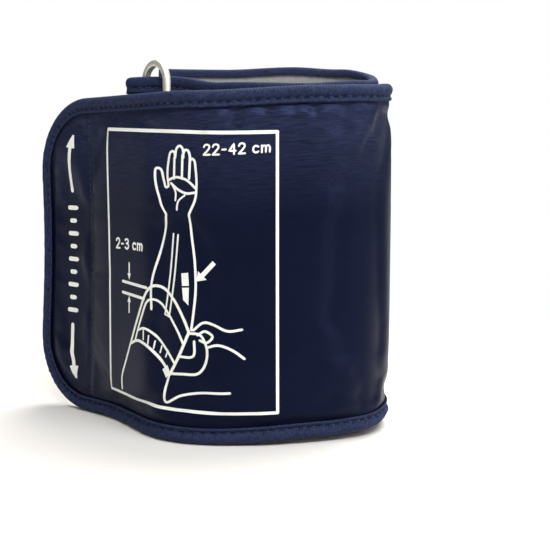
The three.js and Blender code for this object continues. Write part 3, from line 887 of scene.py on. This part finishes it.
def hem():
    """The strip's first edge, carried round the leg as a tube and sewn down on the inside."""
    neck = SPIRAL[0]
    leg = np.array(LEG_A, float)
    heading = math.atan2(*(neck - leg)[::-1])
    count = 72
    turn = heading + np.arange(count) / count * math.tau
    out = HEM_OUT + 0.12 * np.sin(turn * 3)
    circle = leg + np.stack([np.cos(turn), np.sin(turn)], -1) * out[:, None]
    along = (neck - leg) / np.linalg.norm(neck - leg)
    across = np.array([-along[1], along[0]])
    reach = np.clip(np.cos(turn - heading), 0, 1) ** 3
    beside = np.clip(((circle - leg) @ across), -SKIN[1], SKIN[1])
    drawn = leg + along * np.linalg.norm(neck - leg) + across * beside[:, None]
    outer = circle * (1 - reach[:, None]) + drawn * reach[:, None]
    inner = leg + np.stack([np.cos(turn), np.sin(turn)], -1) * HEM_BORE
    z = marks_between(HEM_CUT_BACK, WIDTH - HEM_CUT_BACK, 2.0)
    wave = 1 + 0.02 * np.sin(z / 3.1) + 0.015 * np.sin(z / 7 + 1)
    rings = []
    for height, swell in zip(z, wave):
        both = np.concatenate([leg + (outer - leg) * swell, inner[::-1]])
        rings.append(np.column_stack([both + ORIGIN, np.full(len(both), height + LIFTS[0][1])]) * MM)
    points = np.concatenate(rings)
    rows, half = len(z), count
    index = np.arange(rows * 2 * half).reshape(rows, 2, half)
    faces = []
    for side in (0, 1):
        ring = np.concatenate([index[:, side], index[:, side, :1]], 1)
        faces += np.stack([ring[:-1, :-1], ring[:-1, 1:], ring[1:, 1:], ring[1:, :-1]], -1) \
            .reshape(-1, 4).tolist()
    for row, flipped in ((0, True), (-1, False)):
        outer_ring, inner_ring = index[row, 0], index[row, 1][::-1]
        quads = np.stack([outer_ring, np.roll(outer_ring, -1), np.roll(inner_ring, -1), inner_ring], -1)
        faces += (quads[:, ::-1] if flipped else quads).tolist()
    strip = np.concatenate([np.column_stack([np.tile(turn * HEM_OUT, 2), np.full(2 * half, height),
                                             np.zeros(2 * half)]) for height in z])
    return make_object("ring_hem_fabric", points, outward(points, faces), NYLON, strip)


def hem_tail():
    """The hem's raw end turned back on the lining and sewn across."""
    columns = int((WIDTH - 2 * TAPE) / 1.5)
    s_marks = marks_between(GAP, HEM_TAIL, 0.8)

    def ripple(s, z):
        return 0.06 * np.sin(z / 2.3) * smoothstep(s, 10, 15)

    def on_tail(s, along):
        return -TAIL_FACES[0] - 0.04 + 0 * s

    tail = slab("hem_tail_fabric", s_marks, columns, TAIL_FACES, TAPE + GAP, ripple, NYLON)
    row = upright(HEM_TAIL - TAIL_STITCH_IN, TAPE + TAIL_ROW_ENDS, WIDTH - TAPE - TAIL_ROW_ENDS)
    return tail, stitch_row("hem_thread", row, 0, on_tail, NAVY_THREAD, SEAM_PITCH, side=-1)


# ---- Hook pad inside the flap's free end ----
HOOK_PITCH = 1.6
HOOK_STITCH_IN = 2.4
HOOK_CLEAR = 4                    # no hooks this near the pad's ends, where the stitches run
HOOK_BACK = -1.8                  # n of the pad's sewn face


def hook_pad():
    near, far, edge, thick = (HOOK[key] for key in ("near", "far", "edge", "thick"))
    top = HOOK_BACK - thick
    s_marks = marks_between(LENGTH - far, LENGTH - near, 1.5)
    pad = slab("hook_pad_fabric", s_marks, int((WIDTH - 2 * edge) / 1.5), (top, HOOK_BACK), edge, bend, HOOKS)
    inset = edge + HOOK_STITCH_IN
    s = end_marks(LENGTH - far + HOOK_STITCH_IN, 1.0, inset)
    low = edge_height(s, inset)
    line = np.concatenate([np.stack([s, low], -1), np.stack([s, WIDTH - low], -1)[::-1], [[s[0], low[0]]]])
    frames = np.column_stack([line, np.zeros(len(line)), np.ones(len(line))])
    even = at_path(frames, np.arange(0, path_length(frames)[-1], 1.0))

    def on_pad(s, along):
        return -top + 0 * s

    row = stitch_row("hook_thread", even, 0, on_pad, NAVY_THREAD, SEAM_PITCH, side=-1)
    return pad, row, hooks(LENGTH - far, LENGTH - near, inset + 2, top)


def hooks(left, right, inset, top):
    """Rows of small nylon hooks, each bent over towards the free end."""
    s_marks = np.arange(left + HOOK_CLEAR, right - HOOK_CLEAR, HOOK_PITCH)
    s, z = np.meshgrid(s_marks, np.arange(inset, WIDTH - inset, HOOK_PITCH))
    s = s + (np.arange(len(s)) % 2)[:, None] * HOOK_PITCH / 2
    low = edge_height(s, inset)
    inside_rim = (z > low) & (z < WIDTH - low)
    s, z = s[inside_rim], z[inside_rim]
    spine = [(0, 0.1), (0.05, -0.35), (0.25, -0.6), (0.5, -0.55), (0.55, -0.35)]
    points, faces = [], []
    square = [(-1, -1), (1, -1), (1, 1), (-1, 1)]
    for k, (lean, out) in enumerate(spine):
        half = 0.14 - 0.02 * k
        for a, b in square:
            n = top + out + (0.5 * a * half if k > 2 else 0)
            points.append(place(s + lean + a * half, n + bend(s, z), z + b * half))
    points = np.stack(points, 1)
    block = points.shape[1]
    for k in range(len(spine) - 1):
        for c in range(4):
            d = (c + 1) % 4
            faces.append([4 * k + c, 4 * k + d, 4 * k + 4 + d, 4 * k + 4 + c])
    faces += [[3, 2, 1, 0], [block - 4, block - 3, block - 2, block - 1]]
    one = outward(points[0], faces)
    every = (np.array(one)[None] + (np.arange(len(points)) * block)[:, None, None]).reshape(-1, 4)
    strip = np.repeat(np.stack([s, z, 0 * s], -1), block, axis=0)
    return make_object("hook_pad_hooks", points.reshape(-1, 3), every, HOOKS, strip)


# ---- Slide ring ----
def ring():
    """A wire loop with rounded edges, bent to two straight legs and two half circles, butt-welded
    half way up the leg that the hem hides."""
    a, b = np.array(LEG_A, float), np.array(LEG_B, float)
    across = (b - a) / np.linalg.norm(b - a)
    facing = np.array([-across[1], across[0]])
    middle = (a + b) / 2
    radius = np.linalg.norm(b - a) / 2
    low, high = radius + WIRE / 2, RING_HEIGHT - radius - WIRE / 2
    arc = np.linspace(0, math.pi, 49)
    top = np.stack([radius * np.cos(arc), high + radius * np.sin(arc)], -1)
    bottom = np.stack([-radius * np.cos(arc), low - radius * np.sin(arc)], -1)
    left = np.stack([np.full(40, -radius), np.linspace(high, low, 42)[1:-1]], -1)
    right = np.stack([np.full(40, radius), np.linspace(low, high, 42)[1:-1]], -1)
    path = np.concatenate([top, left, bottom, right])
    tangent = np.roll(path, -1, axis=0) - np.roll(path, 1, axis=0)
    tangent /= np.linalg.norm(tangent, axis=1)[:, None]
    outwards = np.stack([tangent[:, 1], -tangent[:, 0]], -1)
    section = rounded_square(WIRE / 2, 0.75, 6)
    weld = 0.10 * ridge(path[:, 1], RING_HEIGHT / 2, 1.2) * (path[:, 0] < 0)
    grow = (1 + weld)[:, None]
    in_plane = path[:, None] + outwards[:, None] * (section[:, 0] * grow)[..., None]
    depth = section[:, 1] * grow
    flat = middle + in_plane[..., :1] * across + depth[..., None] * facing + ORIGIN
    points = np.concatenate([flat, in_plane[..., 1:] + RING_LIFT], -1).reshape(-1, 3) * MM
    return make_object("slide_ring", points, outward(points, tube_faces(*depth.shape, looped=True)), NICKEL)


def rounded_square(half, radius, steps):
    corners = []
    for quarter in range(4):
        start = quarter * math.pi / 2
        turn = start + np.linspace(0, math.pi / 2, steps)
        centre = (half - radius) * math.sqrt(2) * np.array([math.cos(start + math.pi / 4),
                                                            math.sin(start + math.pi / 4)])
        corners.append(centre + radius * np.stack([np.cos(turn), np.sin(turn)], -1))
    return np.concatenate(corners)


# ---- Air port ----
PORT_HOLE = 4.4


def turned(name, profile, material, steps=64):
    """A closed profile of (radius, n) turned round the port's axis on the strip."""
    profile = np.array(profile, float)
    turn = np.arange(steps) * math.tau / steps
    start = place(PORT_AT, 0, WIDTH / 2)
    out = place(PORT_AT, 1000, WIDTH / 2) - start
    out /= np.linalg.norm(out)
    side = np.array([out[1], -out[0], 0])
    up = np.array([0, 0, 1.0])
    points = []
    for angle in turn:
        radial = side * math.cos(angle) + up * math.sin(angle)
        points.append(start + (profile[:, :1] * radial + profile[:, 1:] * out) * MM)
    points = np.concatenate(points)
    return make_object(name, points, outward(points, tube_faces(steps, len(profile), looped=True)), material)


def softened(corners, radius=0.25, steps=4):
    """A closed profile with its corners rounded."""
    corners = np.array(corners, float)
    result = []
    for before, at, after in zip(np.roll(corners, 1, 0), corners, np.roll(corners, -1, 0)):
        lengths = [np.linalg.norm(before - at), np.linalg.norm(after - at)]
        cut = min(radius, lengths[0] / 2.2, lengths[1] / 2.2)
        first = at + (before - at) / lengths[0] * cut
        last = at + (after - at) / lengths[1] * cut
        for t in np.linspace(0, 1, steps):
            result.append((1 - t) ** 2 * first + 2 * t * (1 - t) * at + t * t * last)
    return result


def port():
    nipple = softened([(1.5, 0.1), (8, 0.1), (8, 0.45), (2.9, 0.45), (2.9, 6.9), (3.5, 7.2), (2.9, 9.9),
                       (3.5, 10.2), (2.2, 13), (1.5, 13)], 0.2)
    collar = softened([(3.2, 0.75), (4.1, 0.75), (4.1, 1.8), (6.8, 1.8), (6.8, 2.7), (4.9, 3.5),
                       (4.6, 4.8), (3.2, 4.8)], 0.4, 6)
    return turned("air_port", nipple, PLASTIC), turned("port_collar", collar, RUBBER)


# ---- Print on the flap: strokes and filled shapes in (distance back from the free end, height) ----
INK = 0.09
LINE = 1.05
INDEX_BACK = 23.2                 # the index arrows and bars, back from the free end
FRAME_PRINT = [(57.4, 15.0), (56.0, 135), (145.8, 131.2), (145.8, 13)]
LETTER_GAP = 1.9


class Ink:
    """Collects thin closed shapes that lie on the flap's fabric, and makes them one mesh."""

    def __init__(self, name):
        self.name, self.points, self.faces, self.layer = name, [], [], 0

    def add(self, back, z, low, faces):
        self.layer += 1
        s = LENGTH - np.asarray(back, float)
        z = np.asarray(z, float)
        lift = SKIN[1] + np.where(low, -0.06, INK + 0.004 * (self.layer % 9))
        n = lift + from_grid(SWELLING, s, z) + bend(s, z)
        start = sum(len(block) for block, _ in self.points)
        points = place(s, n, z)
        self.faces += [[corner + start for corner in face] for face in outward(points, faces)]
        self.points.append((points, np.stack([s, z, n], -1)))

    def stroke(self, path, width=LINE, smooth=True):
        """A line of ink along a path, with round ends."""
        path = np.array(path, float)
        if smooth and len(path) > 2:
            path = spline(path, 12)
        _, line = evenly(path, 0.7)
        way = np.gradient(line, axis=0)
        way /= np.maximum(np.linalg.norm(way, axis=1)[:, None], 1e-9)
        side = np.stack([-way[:, 1], way[:, 0]], -1) * width / 2
        ends = []
        for end, back in ((0, 1), (-1, -1)):
            turn = np.linspace(0, math.pi, 6)[1:-1]
            cap = [line[end] + side[end] * math.cos(a) * back - way[end] * math.sin(a) * back * width / 2
                   for a in turn]
            ends.append(np.array(cap))
        left, right = line + side, line - side
        outline = np.concatenate([left, ends[1], right[::-1], ends[0][::-1]])
        count = len(line)
        total = len(outline)
        caps = len(ends[0])
        right_of = [total - caps - 1 - k for k in range(count)]
        faces = [[k, k + 1, right_of[k + 1], right_of[k]] for k in range(count - 1)]
        faces.append([count - 1] + list(range(count, count + caps)) + [right_of[-1]])
        faces.append([right_of[0]] + list(range(total - caps, total)) + [0])
        self.plate(outline, faces)

    def fill(self, outline):
        """A filled polygon."""
        outline = np.array(outline, float)
        triangles = tessellate_polygon([[Vector((x, y, 0)) for x, y in outline]])
        self.plate(outline, [list(face) for face in triangles])

    def plate(self, outline, faces):
        total = len(outline)
        lower = [[corner + total for corner in face[::-1]] for face in faces]
        turned_alike = same_way_round(outline, faces)
        rim = [[k, (k + 1) % total, (k + 1) % total + total, k + total] for k in range(total)]
        if turned_alike:
            rim = [wall[::-1] for wall in rim]
        both = np.concatenate([outline, outline])
        low = np.arange(2 * total) >= total
        self.add(both[:, 0], both[:, 1], low, faces + lower + rim)

    def text(self, words, back, z, height):
        """Plain numerals and a unit, drawn with single strokes; they read towards the fold."""
        size = height / 6
        at = 0.0
        for mark in words:
            wide, strokes = GLYPHS[mark]
            for line, smooth in strokes:
                path = [(back + (at + x) * size, z + y * size) for x, y in line]
                self.stroke(path, size * 1.15, smooth)
            at += wide + LETTER_GAP

    def make(self):
        points = np.concatenate([block for block, _ in self.points])
        strip = np.concatenate([block for _, block in self.points])
        return make_object(self.name, points, self.faces, PRINT, strip, flat=True)


def same_way_round(outline, faces):
    """True where the faces run the same way round as the outline does."""
    face = faces[0]
    a, b, c = (outline[face[k]] for k in (0, 1, 2))
    turn = (b[0] - a[0]) * (c[1] - a[1]) - (b[1] - a[1]) * (c[0] - a[0])
    x, y = outline[:, 0], outline[:, 1]
    return turn * np.sum(x * np.roll(y, -1) - y * np.roll(x, -1)) > 0


GLYPHS = {
    "2": (3.6, [([(0.1, 4.6), (0.7, 5.7), (2.0, 6.0), (3.3, 5.4), (3.5, 4.2), (2.6, 2.8), (0, 0)], True),
                ([(0, 0), (3.7, 0)], False)]),
    "3": (3.6, [([(0.1, 5.2), (1.6, 6.0), (3.3, 5.3), (3.2, 3.9), (1.5, 3.2)], True),
                ([(1.5, 3.2), (3.4, 2.7), (3.6, 1.0), (1.9, -0.1), (0, 0.8)], True)]),
    "4": (3.8, [([(2.9, 0), (2.9, 6.0), (0, 1.8), (3.9, 1.8)], False)]),
    "-": (2.2, [([(0.2, 2.8), (2.2, 2.8)], False)]),
    "c": (3.0, [([(3.0, 3.4), (1.6, 4.1), (0.2, 3.1), (0.2, 1.0), (1.6, 0), (3.0, 0.6)], True)]),
    "m": (4.8, [([(0.2, 0), (0.2, 4.0)], False), ([(0.2, 3.0), (1.4, 4.0), (2.5, 3.2), (2.5, 0)], True),
                ([(2.5, 3.0), (3.7, 4.0), (4.8, 3.2), (4.8, 0)], True)]),
    " ": (1.0, []),
}


def arrow_outline(tail, tip, shaft, head, head_length):
    """A straight arrow with a triangular head."""
    tail, tip = np.array(tail, float), np.array(tip, float)
    way = (tip - tail) / np.linalg.norm(tip - tail)
    side = np.array([-way[1], way[0]])
    neck = tip - way * head_length
    return [tail + side * shaft / 2, neck + side * shaft / 2, neck + side * head / 2, tip,
            neck - side * head / 2, neck - side * shaft / 2, tail - side * shaft / 2]


def index_arrow(name, tail, tip, lean):
    """An index arrow beside the free end; its head leans towards the panel."""
    ink = Ink(name)
    way = 1 if tip > tail else -1
    neck = tip - way * 5.5
    shaft = [(INDEX_BACK + lean * t ** 2, tail + (neck + way * 1.2 - tail) * t) for t in (0, 0.3, 0.6, 1)]
    ink.stroke(shaft, 2.3)
    for t in np.arange(0, 1, 0.1):
        middle, half = INDEX_BACK + lean * (1 + 0.7 * t), 2.6 * (1 - t)
        height = neck + (tip - neck) * t
        far_side = (middle + half, height - way * 0.6 * (1 - t))
        ink.stroke([(middle - half, height), far_side], 0.9, smooth=False)
    return ink.make()


def index_scale(ink):
    """A plain row of bars between the two arrows, as on a ruler."""
    for k, z in enumerate(np.linspace(48, 98, 9)):
        half = 3.0 if k % 2 == 0 else 1.6
        ink.stroke([(INDEX_BACK - half, z), (INDEX_BACK + half, z)], 2.1)


def print_frame(ink):
    for start, end, width in zip(FRAME_PRINT, FRAME_PRINT[1:] + FRAME_PRINT[:1], (1.2, 1.5, 1.3, 1.3)):
        ink.stroke([start, end], width, smooth=False)


def print_arm(ink):
    """A raised open hand and forearm with the artery marked, wearing a cuff above the elbow."""
    ink.stroke([(97.6, 98), (95.2, 102), (92.6, 108), (91.6, 114), (92.2, 117.6), (94.2, 117.2),
                (95.6, 112.5), (96.8, 109.4), (98.2, 110)])
    ink.stroke([(98.2, 110), (97.6, 115), (98.2, 120), (99.6, 124.4), (101.4, 124.6), (102, 122)])
    ink.stroke([(102, 122.4), (102.8, 126), (104.4, 127), (105.8, 125.6), (106, 122)])
    ink.stroke([(106, 123.4), (106.8, 125.2), (108.2, 125), (109, 122.8), (109, 119.6)])
    ink.stroke([(109, 120.6), (109.9, 121.6), (111, 120.8), (111.6, 117), (112.2, 110), (111.8, 104.5),
                (108.8, 98)])
    for back, high in ((101.6, 122), (105.6, 123), (109, 120.4)):
        ink.stroke([(back, high), (back - 0.4, 113.2)])
    ink.stroke([(98.4, 112.6), (102, 113.8), (107, 112.8), (111.8, 109.2)])
    ink.stroke([(99.6, 111.2), (103.6, 108.4), (107.6, 107), (111.6, 107.4)])
    ink.stroke([(100.2, 110.6), (102, 107.6), (102.4, 104)], 0.8)
    ink.stroke([(106.8, 106.2), (104, 103.8), (103.2, 100)], 0.8)
    ink.stroke([(97.6, 98), (95.8, 90), (92.4, 78), (89.4, 67), (89.0, 56)])
    ink.stroke([(108.8, 98), (109.4, 90), (110.8, 78), (111.2, 66), (110.2, 55), (109.4, 48.6)])
    ink.stroke([(100.6, 89.6), (98.6, 70), (96.2, 54.4)], 0.8)
    ink.stroke([(103.0, 89.2), (101.0, 70), (98.6, 53.6)], 0.8)
    ink.stroke([(96.2, 54.4), (98.6, 53.6)], 0.8)


def print_worn_cuff(ink):
    """The cuff drawn round the upper arm, with its tail pulled to the right."""
    ink.stroke([(74.6, 38.8), (80, 51), (86.4, 63.4), (90.4, 66.4), (95, 66), (101, 61), (106, 53),
                (108.4, 47.6)], 1.25)
    ink.stroke([(78.4, 40.6), (83.2, 52.4), (87.2, 59.6), (91.6, 60.2), (97, 56), (103, 48), (106, 42.4)])
    ink.stroke([(80.4, 45.6), (84.8, 47.0), (91, 44.8), (98, 38.8), (102.4, 33.4)])
    ink.stroke([(74.6, 38.8), (80.6, 41.0), (88, 39.4), (95, 34.4), (100.2, 28.6)], 1.25)
    ink.stroke([(100.2, 28.6), (104, 36.6), (108.4, 47.6)], 1.25)
    for k in range(5):
        t = k / 4
        upper = (84.5 + 14 * t, 46.4 - 7.6 * t - 2 * t * (1 - t))
        ink.stroke([upper, (84.9 + 12.6 * t, 42.0 - 6.2 * t)], 0.7)
    ink.stroke([(100.6, 29.0), (106, 29.4), (112.4, 30.0), (115.4, 33.4), (116.4, 40.8), (113.4, 46.6),
                (108.4, 47.2)], 1.1)
    ink.stroke([(104.2, 36.8), (110.4, 37.4), (110.8, 43.8)])
    ink.stroke([(110.4, 48.6), (114.6, 52.0), (119, 51.4), (125, 48.8), (131, 49.2)])
    ink.stroke([(116.4, 41.6), (121, 42.8), (127, 40.6), (132, 36.8)])
    ink.stroke([(112.2, 46.6), (115.4, 48.4), (118.8, 46.4), (116.2, 43.6), (113.2, 44.4)])
    ink.stroke([(74.4, 38.6), (70.6, 30), (67.4, 22.4), (67.6, 16.8)])
    ink.stroke([(99.8, 28.4), (98.8, 22.2), (99.6, 16.6), (106, 20.2), (114, 22.0), (126, 22.4)])
    ink.fill([(104.6, 72.8), (107.8, 73.2), (108.2, 67.6), (105.0, 67.4)])
    ink.fill([(105.0, 66.6), (108.2, 66.8), (108.0, 59.2), (105.6, 61.4)])
    ink.fill([(96.2, 30.2), (98.6, 32.4), (100.2, 29.4), (98.4, 26.8)])


def print_dimension(ink):
    """The gap between elbow and cuff: two bars, two arrows and a plain dimension."""
    ink.stroke([(67.6, 66.4), (86.4, 65.2)], 1.3, smooth=False)
    ink.stroke([(67.6, 61.4), (84.6, 60.2)], 1.3, smooth=False)
    ink.fill(arrow_outline((72.8, 75.4), (72.8, 67.6), 0.8, 2.6, 2.8))
    ink.fill(arrow_outline((72.8, 52.4), (72.8, 60.2), 0.8, 2.6, 2.8))
    ink.text("2-3 cm", 62.6, 81.4, 4.4)


def prints():
    ink = Ink("printed_drawing")
    print_frame(ink)
    print_arm(ink)
    print_worn_cuff(ink)
    print_dimension(ink)
    ink.fill(arrow_outline((119.4, 77.8), (111.6, 69.6), 2.0, 5.2, 3.6))
    ink.text("22-42 cm", 115.4, 123.2, 4.2)
    index_scale(ink)
    up = index_arrow("index_arrow_top", 106.5, 133, 2.4)
    down = index_arrow("index_arrow_foot", 40.5, 14.5, 2.4)
    return ink.make(), up, down


# ---- Bodies: pieces hung on their bodies or fixed where they cross the fold, the CAD parts they replace hidden, the bladder sheets given film ----
def on(body, piece, slot, *nodes):
    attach(piece, body)
    settle(nodes)


def folding(piece, slot, *nodes):
    """A piece that starts on the wound part, crosses the fold and ends on the flap."""
    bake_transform(piece)
    settle(nodes)


def settle(nodes):
    if nodes:
        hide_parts(*nodes)


pile, nylon, inside, flap_inside = panels()
tapes, threads = bindings()
layer_row, index_row = panel_rows()
tube, tail, tail_row = hem(), *hem_tail()
pad, pad_row, pad_hooks = hook_pad()
wire = ring()
nipple, collar = port()
drawing, arrow_up, arrow_down = prints()

on("wrap", pile, "navy_pile", "wrap_pile_panel")
folding(nylon, "navy_nylon", "fold_panel", "flap_panel")
on("wrap", inside, "grey_lining", "wrap_lining")
folding(flap_inside, "grey_lining", "flap_lining")
on("wrap", tapes["wrap_tape_top"], "navy_tape", "wrap_binding_top")
on("wrap", tapes["wrap_tape_bottom"], "navy_tape", "wrap_binding_bottom")
folding(tapes["flap_tape"], "navy_tape", "flap_binding")
on("wrap", threads["wrap_thread_top"], "blue_thread", "wrap_stitching_top")
on("wrap", threads["wrap_thread_bottom"], "blue_thread", "wrap_stitching_bottom")
folding(threads["flap_thread"], "blue_thread", "flap_stitching")
on("wrap", layer_row, "blue_thread", "layer_seam")
on("flap", index_row, "blue_thread", "index_seam")
on("wrap", tube, "navy_nylon", "ring_hem")
on("wrap", tail, "navy_nylon", "hem_tail")
on("wrap", tail_row, "blue_thread", "hem_stitching")
on("flap", pad, "hook_tape", "hook_pad")
on("flap", pad_hooks, "hook_tape")
on("flap", pad_row, "blue_thread", "hook_stitching")
on("ring", wire, "ring_nickel", "d_ring")
on("wrap", nipple, "port_plastic", "bladder_port")
on("wrap", collar, "grommet_rubber", "port_grommet")
on("flap", drawing, "white_print", "print_frame")
on("flap", arrow_up, "white_print", "index_arrow_up")
on("flap", arrow_down, "white_print", "index_arrow_down")
for node in ("bladder_outer_sheet", "bladder_inner_sheet"):
    for slot in bpy.data.objects[node].material_slots:
        slot.material = FILM


# ---- Stage: pale floor, soft light, camera at eye height in front ----
FLOOR_FADE = (190, 360)           # the floor turns into plain white between these distances
EYE_AWAY, EYE_HEIGHT = 397.3, 121.2
EYE_DOWN = 7                      # degrees that the camera looks down


def floor():
    """A pale floor that turns plain white well away from the cuff."""
    look = Look("floor", roughness=0.9, specular_ior_level=0.0, emission_color=(1, 1, 1, 1))
    tone = look.noise(look.place(), 0.004, 2.0)
    reach = look.node("ShaderNodeVectorMath", {0: look.place()}, operation="LENGTH").outputs["Value"]
    far = look.range(reach, 0, 1, FLOOR_FADE[0], FLOOR_FADE[1])
    look.tree.links.new(far, look.shader.inputs["Emission Strength"])
    pale = look.mix(tone, colour(219, 215, 209), colour(220, 216, 210))
    look.finish(look.mix(far, pale, (0, 0, 0, 1)))
    count, radius = 96, 6.0
    turn = np.arange(count) * math.tau / count
    points = np.stack([radius * np.cos(turn), radius * np.sin(turn), np.full(count, -0.0002)], -1)
    piece = make_object("floor", points, [list(range(count))], look.material, flat=True)


# name, place and aim in metres, size in metres, power in watts, tint
SOFTBOXES = [
    ("right_softbox", (0.75, -0.45, 0.5), (0.05, 0, 0.08), (0.4, 0.8), 4.5, (0.97, 0.98, 1)),
    ("left_softbox", (-0.8, -0.5, 0.45), (0, 0, 0.08), (0.5, 0.7), 1.4, (0.93, 0.96, 1)),
    ("top_softbox", (0.1, 0.15, 0.9), (0, 0, 0.1), (0.8, 0.6), 3, (1, 1, 1)),
    ("front_softbox", (0.25, -0.6, 0.85), (0.03, 0, 0.1), (0.7, 0.35), 10, (0.96, 0.98, 1)),
]


def area_light(name, place_at, aim, size, power, tint):
    data = bpy.data.lights.new(name, "AREA")
    data.shape = "RECTANGLE"
    data.size, data.size_y = size
    data.energy = power
    data.color = tint
    lamp = bpy.data.objects.new(name, data)
    lamp.location = place_at
    lamp.rotation_euler = (Vector(aim) - Vector(place_at)).to_track_quat("-Z", "Y").to_euler()
    bpy.context.scene.collection.objects.link(lamp)


def lights():
    sky = bpy.data.lights.new("overhead", "SUN")
    sky.energy = 3.2
    sky.angle = math.radians(42)
    lamp = bpy.data.objects.new("overhead", sky)
    lamp.rotation_euler = (math.radians(-26), math.radians(15), 0)
    bpy.context.scene.collection.objects.link(lamp)
    for softbox in SOFTBOXES:
        area_light(*softbox)


def surroundings():
    """A dim fill for the object, and plain white for the camera."""
    world = bpy.data.worlds.new("studio")
    world.use_nodes = True
    tree = world.node_tree
    background = tree.nodes["Background"]
    background.inputs["Strength"].default_value = 0.09
    background.inputs["Color"].default_value = (0.93, 0.96, 1, 1)
    seen = tree.nodes.new("ShaderNodeBackground")
    seen.inputs["Color"].default_value = (1, 1, 1, 1)
    seen.inputs["Strength"].default_value = 1.0
    which = tree.nodes.new("ShaderNodeMixShader")
    rays = tree.nodes.new("ShaderNodeLightPath")
    tree.links.new(rays.outputs["Is Camera Ray"], which.inputs[0])
    tree.links.new(background.outputs[0], which.inputs[1])
    tree.links.new(seen.outputs[0], which.inputs[2])
    tree.links.new(which.outputs[0], tree.nodes["World Output"].inputs["Surface"])
    bpy.context.scene.world = world
    bpy.context.scene.view_settings.view_transform = "Standard"


def camera():
    data = bpy.data.cameras.new("camera")
    data.sensor_width = 36
    data.lens = 61.5
    eye = bpy.data.objects.new("camera", data)
    eye.location = (ORIGIN[0] * MM, (ORIGIN[1] - EYE_AWAY) * MM, EYE_HEIGHT * MM)
    eye.rotation_euler = (math.radians(90 - EYE_DOWN), 0, 0)
    bpy.context.scene.collection.objects.link(eye)
    bpy.context.scene.camera = eye


floor()
lights()
surroundings()
camera()
